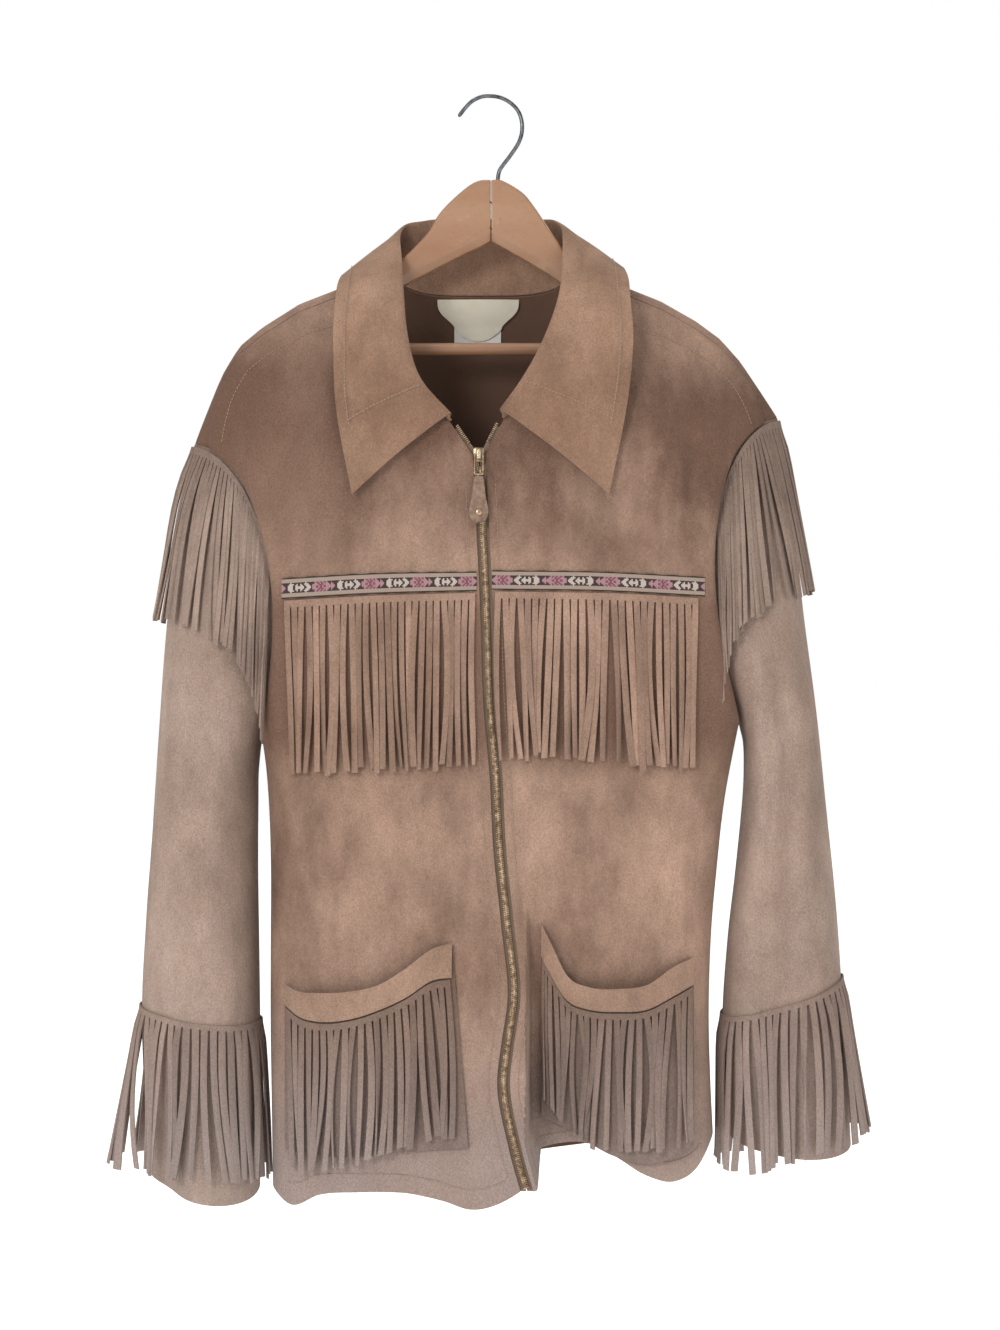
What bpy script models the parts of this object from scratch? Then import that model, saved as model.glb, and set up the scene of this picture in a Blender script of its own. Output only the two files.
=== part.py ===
import bmesh
import bpy
import numpy as np
from mathutils import kdtree

# Suede fringe jacket hung on a wooden hanger. Tables are in mm, the origin is the inside
# top of the hook's arc, x is the photograph's right, y is away from the viewer and z is up.

for old in list(bpy.data.objects):
    bpy.data.objects.remove(old)

SUEDE = (0.36, 0.24, 0.16, 1)
SUEDE_COOL = (0.30, 0.22, 0.17, 1)
BRASS = (0.55, 0.42, 0.22, 1)

# Neckline, round from the left front over the back to the right front
NECK = [  # v, x, z, y
    (0.000, -32, -264, -63),
    (0.054, -52, -244, -57),
    (0.136, -70, -208, -44),
    (0.221, -80, -169, -26),
    (0.277, -85, -143, -13),
    (0.306, -86, -136, 0),
    (0.333, -83, -138, 14),
    (0.378, -70, -148, 29),
    (0.500, -7, -155, 34),
    (0.622, 56, -148, 29),
    (0.667, 69, -138, 14),
    (0.694, 72, -136, 0),
    (0.723, 71, -143, -13),
    (0.779, 66, -169, -26),
    (0.864, 56, -208, -44),
    (0.946, 32, -244, -57),
    (1.000, 10, -262, -63),
]

# Shoulder ridge from the neck to the sleeve head
RIDGE = {
    -1: [(86, -136), (122, -153), (153, -165), (183, -184), (201, -199), (215, -222), (226, -248), (237, -276)],
    1: [(72, -136), (106, -151), (136, -163), (164, -179), (183, -193), (199, -211), (214, -233), (229, -255)],
}

# Centre line of the zip from the hem to the slider
ZIP = [  # t, x, z, y
    (0.00, 28, -861, -80),
    (0.06, 19, -828, -80),
    (0.12, 10, -781, -80),
    (0.17, 13, -748, -79),
    (0.22, 18, -713, -78),
    (0.30, 13, -655, -76),
    (0.40, 7, -597, -74),
    (0.50, 4, -539, -71),
    (0.60, -1, -481, -68),
    (0.70, -3, -419, -66),
    (0.80, -6, -352, -65),
    (0.86, -9, -290, -64),
]

# Side seam, hem to armpit
SIDE = {
    -1: [(0, -173, -864), (0.1, -174, -800), (0.2, -175, -736), (0.3, -175, -668), (0.4, -175, -612),
         (0.5, -177, -556), (0.57, -180, -524), (0.6, -182, -511)],
    1: [(0, 176, -822), (0.1, 174, -778), (0.2, 173, -726), (0.3, 175, -666), (0.4, 180, -610),
        (0.5, 186, -558), (0.57, 193, -520), (0.6, 197, -500)],
}

# From the back's forward edge to the front's top edge
SEAM_GAP = (0, -1.0, -2.1)

# How far the chest folds out over the armhole
FOLD_OUT = [(0, 0), (0.6, 0), (0.8, 3), (0.9, 6), (0.96, 3), (1, 0)]

# Hem of each front against its width: lift of the hem and how far it stands back
HEM = {
    -1: [(0, 0, 0), (0.05, -6, 0), (0.2, -14, 4), (0.3, -9, 12), (0.45, -3, 14), (0.65, -1, 8),
         (0.8, -4, 10), (0.92, -12, 4), (1, 0, 0)],
    1: [(0, 24, 50), (0.14, 24, 50), (0.3, 18, 50), (0.45, 4, 34), (0.62, -16, 20), (0.78, -26, 10),
        (0.9, -20, 4), (1, 0, 0)],
}

# Sleeve rings: outer point, inner point, half depth, middle depth, armhole set-in, front drop
SLEEVE = {
    -1: [
        (0.00, -237, -277, -183, -510, 42, 0, 58, 0),
        (0.10, -249, -324, -184, -518, 46, 0, 38, 0),
        (0.20, -255, -378, -185, -528, 49, 0, 18, 0),
        (0.30, -261, -442, -186, -542, 50, 0, 5, 0),
        (0.40, -265, -506, -186, -562, 50, -2, 0, 0),
        (0.55, -270, -586, -186, -618, 50, -4, 0, 0),
        (0.70, -275, -658, -185, -678, 50, -6, 0, 2),
        (0.85, -278, -738, -184, -750, 50, -8, 0, 6),
        (1.00, -273, -850, -184, -868, 48, -8, 0, 16),
    ],
    1: [
        (0.00, 229, -256, 198, -499, 42, 0, 58, 0),
        (0.10, 236, -300, 200, -507, 46, -1, 38, 0),
        (0.20, 243, -354, 202, -518, 49, -3, 18, 0),
        (0.30, 250, -418, 202, -534, 50, -6, 5, 0),
        (0.40, 258, -482, 201, -556, 50, -8, 0, 0),
        (0.55, 266, -562, 195, -614, 50, -12, 0, 0),
        (0.70, 274, -642, 188, -674, 50, -14, 0, 2),
        (0.85, 279, -714, 184, -742, 50, -14, 0, 6),
        (1.00, 286, -832, 187, -822, 48, -14, 0, 12),
    ],
}

# The long valley down the front of each sleeve
VALLEY = {
    -1: [(0, 0.22, 0), (0.5, 0.20, 2), (0.8, 0.16, 4), (0.9, 0.15, 9), (1, 0.15, 12)],
    1: [(0, 0.29, 0), (0.2, 0.29, 3), (0.35, 0.29, 11), (0.8, 0.30, 12), (1, 0.30, 6)],
}

# Collar: roll line and outer edge at places along the neckline
COLLAR = [  # v, x roll, z roll, y roll, x edge, z edge, y edge
    (0.000, -33, -259, -69, -108, -321, -70),
    (0.054, -54, -234, -65, -119, -264, -67),
    (0.136, -65, -200, -57, -123, -208, -58),
    (0.221, -69, -160, -42, -123, -174, -41),
    (0.277, -71, -130, -18, -121, -148, -16),
    (0.306, -73, -110, 6, -118, -139, 12),
    (0.333, -70, -99, 26, -108, -137, 36),
    (0.378, -54, -93, 39, -83, -146, 60),
    (0.500, -7, -91, 43, -7, -158, 68),
    (0.622, 37, -92, 39, 68, -146, 60),
    (0.667, 52, -95, 26, 92, -135, 36),
    (0.694, 57, -104, 6, 104, -133, 12),
    (0.723, 57, -128, -18, 108, -142, -16),
    (0.779, 55, -156, -42, 110, -168, -41),
    (0.864, 43, -195, -57, 111, -206, -58),
    (0.946, 25, -231, -65, 104, -263, -67),
    (1.000, 9, -256, -69, 92, -321, -70),
]

# Ribbon across each chest: its top and lower edge
RIBBON = {
    -1: [(0, -11, -381, -396), (0.5, -86, -382, -398), (1, -163, -386, -402)],
    1: [(0, 1, -380, -395), (0.5, 85, -381, -396), (1, 167, -385, -400)],
}

# Chest fringe: root line and tip line
CHEST_FRINGE = {
    -1: [(0, -11, -397.5, -532), (0.5, -86, -399.5, -535), (1, -162, -403.5, -542)],
    1: [(0, 2, -396.5, -528), (0.3, 50, -397, -524), (0.6, 100, -398, -531), (1, 163, -401.5, -535)],
}

# Pocket: mouth, lower edge of its band, bottom of the bag, tips of its fringe
POCKET = {
    -1: [
        (0.00, -30, -669, -695, -827, -817),
        (0.12, -45, -673, -697, -829, -818),
        (0.28, -66, -688, -710, -832, -828),
        (0.45, -88, -701, -720, -834, -835),
        (0.60, -108, -706, -727, -836, -840),
        (0.78, -132, -708, -730, -836, -846),
        (0.90, -148, -708, -727, -834, -846),
        (1.00, -160, -703, -718, -832, -842),
    ],
    1: [
        (0.00, 40, -654, -678, -810, -792),
        (0.10, 45, -664, -688, -812, -799),
        (0.22, 58, -690, -709, -818, -818),
        (0.38, 78, -700, -718, -828, -829),
        (0.55, 100, -702, -720, -838, -833),
        (0.72, 122, -700, -719, -842, -831),
        (0.86, 141, -688, -710, -838, -828),
        (1.00, 157, -682, -702, -828, -824),
    ],
}

# Hanger arm: top, lower edge of the flat face, underside
ARM = {
    -1: [(0.2, -66, -108, -115), (9, -66.5, -112, -120), (18, -71, -117, -124), (32, -83, -124, -131),
         (42, -94.1, -129, -136), (51, -109.1, -134, -141), (72, -130.1, -144, -152), (90, -143.4, -156, -163),
         (125, -163.1, -172, -180), (161, -181.1, -190, -197), (186, -197.1, -203, -207)],
    1: [(0.2, -66, -108, -115), (9, -66.5, -112, -120), (25, -76, -121, -129), (35, -88, -127, -135),
        (45, -103.1, -134, -141), (58, -122.1, -141, -150), (74, -144.4, -154, -160), (106, -159.1, -168, -174),
        (136, -173.1, -181, -187), (160, -186.1, -193, -199), (178, -198.1, -203, -206)],
}

# Middle of the hook's wire from its foot to its tip
HOOK = [(5.5, -65.9), (6, -61), (8, -56), (15.5, -46), (22.5, -35), (25, -24), (23, -13), (17, -5), (8.5, 0),
        (0, 1.6), (-7.5, 1), (-15, -2.5), (-21, -8.5), (-26, -15)]


def curve(rows, t):
    """Smooth values between a table's rows, whose first column is the place."""
    a = np.asarray(rows, float)
    k = a[:, 0]
    v = a[:, 1:]
    m = np.gradient(v, k, axis=0)
    t = np.clip(np.asarray(t, float), k[0], k[-1])
    i = np.clip(np.searchsorted(k, t, side="right") - 1, 0, len(k) - 2)
    h = (k[i + 1] - k[i])[..., None]
    x = (t - k[i])[..., None] / h
    lead = v[i] * (1 + 2 * x) * (1 - x) ** 2 + v[i + 1] * x * x * (3 - 2 * x)
    return lead + m[i] * h * x * (1 - x) ** 2 + m[i + 1] * h * x * x * (x - 1)


def straight(rows, t):
    """Straight values between a table's rows."""
    a = np.asarray(rows, float)
    cols = [np.interp(t, a[:, 0], a[:, c]) for c in range(1, a.shape[1])]
    return np.stack(cols, -1)


def ease(x):
    x = np.clip(x, 0, 1)
    return x * x * (3 - 2 * x)


def pts(x, z, y):
    """Points from x, z and y in the tables' order."""
    x, z, y = np.broadcast_arrays(x, z, y)
    return np.stack([x, y, z], -1).astype(float)


def sleeve(side, u, t):
    """Sleeve surface: u round from the back (-0.5) by the outside (0) to the front, t down."""
    u, t = np.broadcast_arrays(np.asarray(u, float), np.asarray(t, float))
    r = np.moveaxis(curve(SLEEVE[side], t), -1, 0)
    xo, zo, xi, zi, b, yc, q, dz = r
    c = np.cos(2 * np.pi * u)
    s = np.sin(2 * np.pi * u)
    inset = q * (np.sqrt(s * s + 0.004) - 0.063) * np.cos(np.pi * u)
    uv, depth = np.moveaxis(curve(VALLEY[side], t), -1, 0)
    dip = depth * np.exp(-((u - uv) / 0.06) ** 2)
    half = 0.5 + 0.5 * c
    x = xi + (xo - xi) * half - side * inset - side * 0.4 * dip * c
    z = zi + (zo - zi) * half - dz * np.maximum(s, 0)
    return pts(x, z, yc - b * s + dip * 0.9)


def armhole(side, u, gap):
    """Armhole edge of the body panels, a little inside the sleeve's first ring."""
    p = sleeve(side, u, 0.0)
    d = sleeve(side, u, 0.06) - p
    d /= np.linalg.norm(d, axis=-1, keepdims=True)
    k = ease((0.46 - np.abs(u)) / 0.12)[..., None]
    w = np.array([-side * 1.0, 0, 0]) * (1 - 0.5 * k) - d * k
    return p + gap * w / np.linalg.norm(w, axis=-1, keepdims=True)


def zip_line(t):
    return np.moveaxis(curve(ZIP, t), -1, 0)


def inner_edge(side, t):
    """Zip edge, then the neckline, of a front."""
    x, z, y = zip_line(t)
    x = x + side * 5
    v = np.clip((t - 0.885) / 0.115, 0, 1) * 0.277
    n = np.moveaxis(curve(NECK, v if side < 0 else 1 - v), -1, 0)
    k = np.clip((t - 0.86) / 0.025, 0, 1)
    return x + (n[0] - x) * k, z + (n[1] - z) * k, y + (n[2] - y) * k


def ridge(side, x):
    a = np.asarray(RIDGE[side], float)
    return np.interp(x * side, a[:, 0], a[:, 1])


# Lines over each shoulder: place round the armhole, height and depth from the ridge, place round the neck
SHOULDER = ((-0.05, -9, 12, 0.333), (-0.003, 0, 0, 0.306), (0.04, -7.2, -11.4, 0.287))


def shoulder(side, k, level):
    """A line over the shoulder from the armhole (k 0) to the neck: behind, on the ridge or in front."""
    u, dz, y, nv = SHOULDER[level]
    tip = armhole(side, 0.0, 3.2)[0]
    hps = -86.0 if side < 0 else 72.0
    x = tip + (hps - tip) * k
    arm = armhole(side, u, 3.2)
    p = arm + (pts(x, ridge(side, x) + dz, y) - arm) * ease(k * 6)[..., None]
    foot = pts(*curve(NECK, nv if side < 0 else 1 - nv))
    return p + ease((k - 0.75) / 0.25)[..., None] * (foot - pts(hps, ridge(side, hps) + dz, y))


def front_base(side, s, t):
    """Front panel before its top edge is fitted to the shoulder seam."""
    xi, zi, yi = inner_edge(side, t)
    xs, zs = np.moveaxis(curve(SIDE[side], t), -1, 0)
    u = 0.5 - np.clip((t - 0.6) / 0.4, 0, 1) * 0.445
    arm = armhole(side, u, 1.3)
    up = (t > 0.6)
    xo = np.where(up, arm[..., 0], xs)
    zo = np.where(up, arm[..., 2], zs)
    yo = np.where(up, arm[..., 1], -0.5)
    c = (1 - s ** 2.667) ** 0.225
    out = s ** 8 * np.sqrt(np.clip(1 - s * s, 0, 1)) / 0.207
    x = xi + (xo - xi) * s + side * out * np.moveaxis(straight(FOLD_OUT, t), -1, 0)[0]
    z = zi + (zo - zi) * s
    y = yo + (yi - yo) * c
    lift, back = np.moveaxis(straight(HEM[side], s), -1, 0)
    w = np.clip(1 - t / 0.36, 0, 1)
    if side > 0:
        crease = np.maximum(0.02, (27 - xi) / (xo - xi))
        lift = lift * ease((s - crease) / 0.03)
        back = back * ease((s - crease) / 0.03)
    z = z + lift * w ** 3
    y = y + back * ease(w * 1.25)
    return pts(x, z, y)


def front(side, s, t):
    """Front panel: s from the zip to the side, t from the hem to the shoulder seam."""
    s, t = np.broadcast_arrays(np.asarray(s, float), np.asarray(t, float))
    seam = shoulder(side, 1 - s, 2) + np.array(SEAM_GAP)
    rise = (seam - front_base(side, s, np.ones(s.shape))) * ease(s / 0.08)[..., None]
    start = 0.72 + 0.22 * ease((s - 0.6) / 0.38)
    return front_base(side, s, t) + rise * ease((t - start) / (1 - start))[..., None]


def out_of(surface, s, t, lift):
    """Points of a surface moved out along its normal."""
    e = 0.004
    p = surface(s, t)
    a = surface(np.minimum(s + e, 1), t) - surface(np.maximum(s - e, 0), t)
    b = surface(s, np.minimum(t + e, 1)) - surface(s, np.maximum(t - e, 0))
    n = np.cross(a, b)
    n /= np.linalg.norm(n, axis=-1, keepdims=True) + 1e-9
    n *= np.where(n[..., 1:2] > 0, -1, 1)
    n[..., 0] *= 0.4
    return p + n * np.asarray(lift, float)[..., None]


def on_front(side, x, z, lift):
    """The place on a front that shows at x and z, moved out by lift."""
    x, z, lift = np.broadcast_arrays(np.asarray(x, float), np.asarray(z, float), np.asarray(lift, float))
    s = np.full(x.shape, 0.5)
    t = np.clip((z + 870) / 600, 0.02, 0.84)
    for _ in range(14):
        p = front(side, s, t)
        ps = (front(side, s + 0.01, t) - p) / 0.01
        pt = (front(side, s, t + 0.01) - p) / 0.01
        dx = x - p[..., 0]
        dz = z - p[..., 2]
        det = ps[..., 0] * pt[..., 2] - ps[..., 2] * pt[..., 0]
        s = np.clip(s + 0.8 * (dx * pt[..., 2] - dz * pt[..., 0]) / det, 0.0, 0.945)
        t = np.clip(t + 0.8 * (dz * ps[..., 0] - dx * ps[..., 2]) / det, 0.0, 0.85)
    return out_of(lambda a, b: front(side, a, b), s, t, lift)


def back_base(s, t):
    """Back below the shoulders, from side seam or armhole to the other."""
    ends = []
    for side in (-1, 1):
        xs, zs = np.moveaxis(curve(SIDE[side], t), -1, 0)
        arm = armhole(side, -0.5 + np.clip((t - 0.6) / 0.3, 0, 1) * 0.45, 3.2)
        up = (t > 0.6)
        ends.append((np.where(up, arm[..., 0], xs), np.where(up, arm[..., 2], zs), np.where(up, arm[..., 1], 0.5)))
    left, right = ends
    x = left[0] + (right[0] - left[0]) * s
    z = left[1] + (right[1] - left[1]) * s
    edge = left[2] + (right[2] - left[2]) * s
    bow = np.sqrt(np.clip(1 - np.abs(2 * s - 1) ** 4, 0, 1))
    deep = 50 - 6 * ease((t - 0.5) / 0.25) - 27 * ease((t - 0.81) / 0.11)
    y = edge + (deep - edge) * bow
    return pts(x, z - 10 * bow * np.clip(1 - t / 0.3, 0, 1), y)


NECK_S = (0.323, 0.664)


def back(s, t):
    """Back panel, wrapped over the shoulders to the forward seam, cut out for the neck."""
    s, t = np.broadcast_arrays(np.asarray(s, float), np.asarray(t, float))
    s1, s2 = NECK_S
    v = 0.333 + np.clip((s - s1) / (s2 - s1), 0, 1) * 0.334
    low = pts(*np.moveaxis(curve(NECK, v), -1, 0))
    mid = low + np.array([0, 0, 6.0])
    top = low + np.array([0, 0, 12.0])
    for side, k in ((-1, s / s1), (1, (1 - s) / (1 - s2))):
        k = np.clip(k, 0, 1)
        here = ((s <= s1) if side < 0 else (s >= s2))[..., None]
        low = np.where(here, shoulder(side, k, 0), low)
        mid = np.where(here, shoulder(side, k, 1), mid)
        top = np.where(here, shoulder(side, k, 2), top)
    f = np.clip((t - 0.9) / 0.1, 0, 1)[..., None]
    cap = low * (1 - f) * (1 - 2 * f) + mid * 4 * f * (1 - f) + top * f * (2 * f - 1)
    w = ease((t - 0.68) / 0.22)[..., None]
    below = back_base(s, t) + w * (low - back_base(s, np.full(s.shape, 0.9)))
    return np.where((t >= 0.9)[..., None], cap, below)


def collar(v, w):
    """Collar: v along the neckline, w up the stand to the roll and out to the edge."""
    v, w = np.broadcast_arrays(np.asarray(v, float), np.asarray(w, float))
    n = np.moveaxis(curve(NECK, v), -1, 0)
    r = curve(COLLAR, v)
    toward = np.sign(-7 - n[0]) * np.clip(np.abs(n[0] + 7) / 30, 0, 1)
    foot = pts(n[0] + toward * 2.1, n[1] + 1.5, n[2] - 0.5)
    roll = pts(r[..., 0], r[..., 1], r[..., 2])
    edge = pts(r[..., 3], r[..., 4], r[..., 5])
    m = 0.36
    k = ease((w - m + 0.2) / 0.4)[..., None]
    a = foot + (roll - foot) * (w / m)[..., None]
    b = roll + (edge - roll) * ((w - m) / (1 - m))[..., None]
    sag = (np.sin(np.pi * np.clip((w - m) / (1 - m), 0, 1)) * 5)[..., None] * np.array([0, -0.5, 0.5])
    return a * (1 - k) + b * k + sag


def mesh_object(name, bm, color, metal=0.0, rough=0.85):
    bmesh.ops.recalc_face_normals(bm, faces=bm.faces)
    bmesh.ops.triangulate(bm, faces=[f for f in bm.faces if len(f.verts) > 4])
    if bm.calc_volume(signed=True) < 0:
        bmesh.ops.reverse_faces(bm, faces=bm.faces)
    me = bpy.data.meshes.new(name)
    bm.to_mesh(me)
    bm.free()
    ob = bpy.data.objects.new(name, me)
    bpy.context.collection.objects.link(ob)
    mat = bpy.data.materials.new(name)
    mat.use_nodes = True
    node = mat.node_tree.nodes["Principled BSDF"]
    node.inputs["Base Color"].default_value = color
    node.inputs["Metallic"].default_value = metal
    node.inputs["Roughness"].default_value = rough
    mat.diffuse_color = color
    me.materials.append(mat)
    return ob


def grid(fn, us, vs, wrap=False):
    """A grid whose points are placed by fn over the lists us and vs."""
    us = np.asarray(us, float)
    vs = np.asarray(vs, float)
    bm = bmesh.new()
    bmesh.ops.create_grid(bm, x_segments=len(us) - 1, y_segments=len(vs) - 1, size=1)
    bm.verts.ensure_lookup_table()
    i = np.rint([(v.co.x + 1) / 2 * (len(us) - 1) for v in bm.verts]).astype(int)
    j = np.rint([(v.co.y + 1) / 2 * (len(vs) - 1) for v in bm.verts]).astype(int)
    p = fn(us[i], vs[j]) * 0.001
    for v, c in zip(bm.verts, p):
        v.co = c
    if wrap:
        bmesh.ops.remove_doubles(bm, verts=bm.verts, dist=1e-5)
    bm.normal_update()
    return bm


def thicken(bm, mm):
    """Walls: the sheet gets its thickness on the side that mm's sign names."""
    bmesh.ops.solidify(bm, geom=bm.faces[:], thickness=mm * 0.001)
    return bm


def comb(fn, k0, k1, n, fill, rows):
    """A strip with n strands below it, all one sheet."""
    pitch = (k1 - k0) / (n - 1 + fill)
    ks = []
    for i in range(n):
        ks += [k0 + i * pitch, k0 + (i + fill) * pitch]
    bm = grid(fn, ks, rows)
    bm.faces.ensure_lookup_table()
    cols = len(ks) - 1
    gone = [f for i, f in enumerate(bm.faces) if (i % cols) % 2 == 1 and i // cols > 0]
    bmesh.ops.delete(bm, geom=gone, context="FACES")
    return bm


def tube(fn, n_around, ts):
    """A closed bar: fn gives the ring at each place, and the ends are capped."""
    us = np.arange(n_around + 1) / n_around
    bm = grid(fn, us, ts, wrap=True)
    bmesh.ops.holes_fill(bm, edges=bm.edges[:], sides=0)
    return bm


def block(cx, cz, cy, wx, wz, wy):
    bm = bmesh.new()
    bmesh.ops.create_cube(bm, size=0.001)
    for v in bm.verts:
        v.co.x = v.co.x * wx + cx * 0.001
        v.co.y = v.co.y * wy + cy * 0.001
        v.co.z = v.co.z * wz + cz * 0.001
    return bm


SIDES = ((-1, "left"), (1, "right"))

FRONT_ROWS = [0, 0.07, 0.15, 0.23, 0.31, 0.4, 0.5, 0.6, 0.645, 0.69, 0.735, 0.78, 0.825, 0.86, 0.885, 0.9,
              0.915, 0.935, 0.96, 0.98, 1]

# Fronts, each cut from the zip to the side seam and up to the forward shoulder seam
for side, tag in SIDES:
    cols = [0, 0.02, 0.05, 0.08, 0.11, 0.16, 0.24, 0.36, 0.48, 0.62, 0.74, 0.84, 0.91, 0.96, 0.988, 1]
    bm = grid(lambda s, t: front(side, s, t), cols, FRONT_ROWS)
    thicken(bm, 2.0 * side)
    mesh_object("front_" + tag, bm, SUEDE)

# Back, one piece with the neck cut out of its top edge
cols = [0, 0.008, 0.03, 0.048, 0.07, 0.13, 0.2, 0.27, 0.323, 0.369, 0.431, 0.4935]
cols = cols + [0.556, 0.618, 0.664, 0.72, 0.79, 0.86, 0.92, 0.943, 0.965, 0.991, 1]
rows = [0, 0.12, 0.25, 0.38, 0.5, 0.6, 0.6333, 0.6667, 0.7, 0.7333, 0.7667, 0.8, 0.8333, 0.8667, 0.9]
rows = rows + [0.925, 0.95, 0.975, 1]
bm = grid(back, cols, rows)
bm.faces.ensure_lookup_table()
n = len(cols) - 1
gone = [f for i, f in enumerate(bm.faces) if i // n >= 14 and 8 <= i % n < 14]
bmesh.ops.delete(bm, geom=gone, context="FACES")
mesh_object("back", thicken(bm, -2.0), SUEDE)

# Sleeves, each a tube from the armhole to the cuff
for side, tag in SIDES:
    us = np.linspace(-0.5, 0.5, 21)
    ts = [0, 0.04, 0.09, 0.15, 0.22, 0.3, 0.4, 0.5, 0.6, 0.7, 0.8, 0.87, 0.94, 1]
    bm = grid(lambda u, t: sleeve(side, u, t), us, ts, wrap=True)
    mesh_object("sleeve_" + tag, thicken(bm, 2.0 * side), SUEDE_COOL)

# Collar, stand and leaf in one piece
vs = [0, 0.0361, 0.0723, 0.1204, 0.1807, 0.2288, 0.277, 0.306, 0.333, 0.378, 0.439, 0.5]
vs = vs + [0.561, 0.622, 0.667, 0.694, 0.723, 0.7712, 0.8193, 0.8796, 0.9277, 0.9639, 1]
ws = [0, 0.18, 0.3, 0.36, 0.43, 0.55, 0.76, 1]
mesh_object("collar", thicken(grid(collar, vs, ws), 2.2), SUEDE)


def chest_fringe(side, k, d):
    x, root, tip = np.moveaxis(curve(CHEST_FRINGE[side], k), -1, 0)
    x = x + side * 2.5 * np.sin(9 * k + 1) * d * d
    return on_front(side, x, root + (tip - root) * d, 0.5 + 3.5 * d)


def gape(side, k, z, mouth):
    """How far the pocket stands off the front."""
    deep = np.clip((mouth - z) / 110, 0, 1)
    low, high = (1, 9) if side < 0 else (5, 11)
    return 0.6 + low * deep + high * np.sin(np.pi * np.clip(k, 0, 1)) * (1 - deep) ** 2


def bag(side, k, w):
    x, mouth, band, low, tip = np.moveaxis(curve(POCKET[side], k), -1, 0)
    x = x + np.where(k < 0.5, (0.5 - k) * (26 if side < 0 else 0), 0) * w
    z = mouth - 1 + (low - mouth + 1) * w
    return on_front(side, x, z, gape(side, k, z, mouth))


def pocket_band(side, k, w):
    x, mouth, band, low, tip = np.moveaxis(curve(POCKET[side], k), -1, 0)
    z = mouth + (band - mouth) * w
    return on_front(side, x, z, gape(side, k, z, mouth) + 2.8)


def pocket_fringe(side, k, d):
    x, mouth, band, low, tip = np.moveaxis(curve(POCKET[side], k), -1, 0)
    z = band - 2 + (tip - band + 2) * d
    x = x + np.where(k < 0.5, (0.5 - k) * (22 if side < 0 else 0), 0) * d
    return on_front(side, x, z, gape(side, k, z, mouth) + 2.8 + 3 * d)


# Ribbon, chest fringe, pocket, band and pocket fringe on each front
for side, tag in SIDES:
    def ribbon(k, w):
        x, top, low = np.moveaxis(curve(RIBBON[side], k), -1, 0)
        return on_front(side, x, top + (low - top) * w, 0.4)
    bm = grid(ribbon, np.linspace(0, 1, 13), [0, 1])
    mesh_object("ribbon_" + tag, thicken(bm, 1.0 * side), (0.45, 0.36, 0.32, 1))
    bm = comb(lambda k, d: chest_fringe(side, k, d), 0.01, 0.99, 20, 0.74, [0, 0.045, 0.5, 1])
    mesh_object("chest_fringe_" + tag, thicken(bm, 1.5 * side), SUEDE)
    bm = grid(lambda k, w: bag(side, k, w), np.linspace(0, 1, 9), np.linspace(0, 1, 6))
    mesh_object("pocket_" + tag, thicken(bm, 1.6 * side), SUEDE)
    bm = grid(lambda k, w: pocket_band(side, k, w), np.linspace(0, 1, 11), [0, 0.5, 1])
    mesh_object("pocket_band_" + tag, thicken(bm, 1.6 * side), SUEDE)
    bm = comb(lambda k, d: pocket_fringe(side, k, d), 0.01, 0.99, 15, 0.74, [0, 0.05, 0.5, 1])
    mesh_object("pocket_fringe_" + tag, thicken(bm, 1.5 * side), SUEDE_COOL)


def hanging(side, u, t0, drop, lift):
    """A place on a sleeve a given drop below the ring t0, moved out by lift."""
    u, drop, lift = np.broadcast_arrays(u, drop, lift)
    tt = np.linspace(t0, 1, 160)
    out = np.zeros(u.shape)
    for one in np.unique(u):
        here = (u == one)
        z = sleeve(side, one, tt)[..., 2]
        z = np.minimum.accumulate(z)
        out[here] = np.interp(z[0] - drop[here], z[::-1], tt[::-1])
    p = sleeve(side, u, out)
    e = 0.004
    a = sleeve(side, u + e, out) - sleeve(side, u - e, out)
    b = sleeve(side, u, np.minimum(out + e, 1)) - sleeve(side, u, np.maximum(out - e, 0))
    n = np.cross(a, b) * side
    n /= np.linalg.norm(n, axis=-1, keepdims=True) + 1e-9
    return p + n * lift[..., None]


def beside(side, way, x, z):
    """Depth of the sleeve's front (way 1) or back (way -1) at x and z."""
    u, t = np.meshgrid(np.linspace(0, 0.5, 60) * way, np.linspace(0, 1, 160))
    p = sleeve(side, u.ravel(), t.ravel())
    tree = kdtree.KDTree(len(p))
    for i, q in enumerate(p):
        tree.insert((q[0], 0, q[2]), i)
    tree.balance()
    flat = [p[tree.find((a, 0, b))[1]][1] for a, b in zip(x.ravel(), z.ravel())]
    return np.array(flat).reshape(x.shape)


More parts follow.
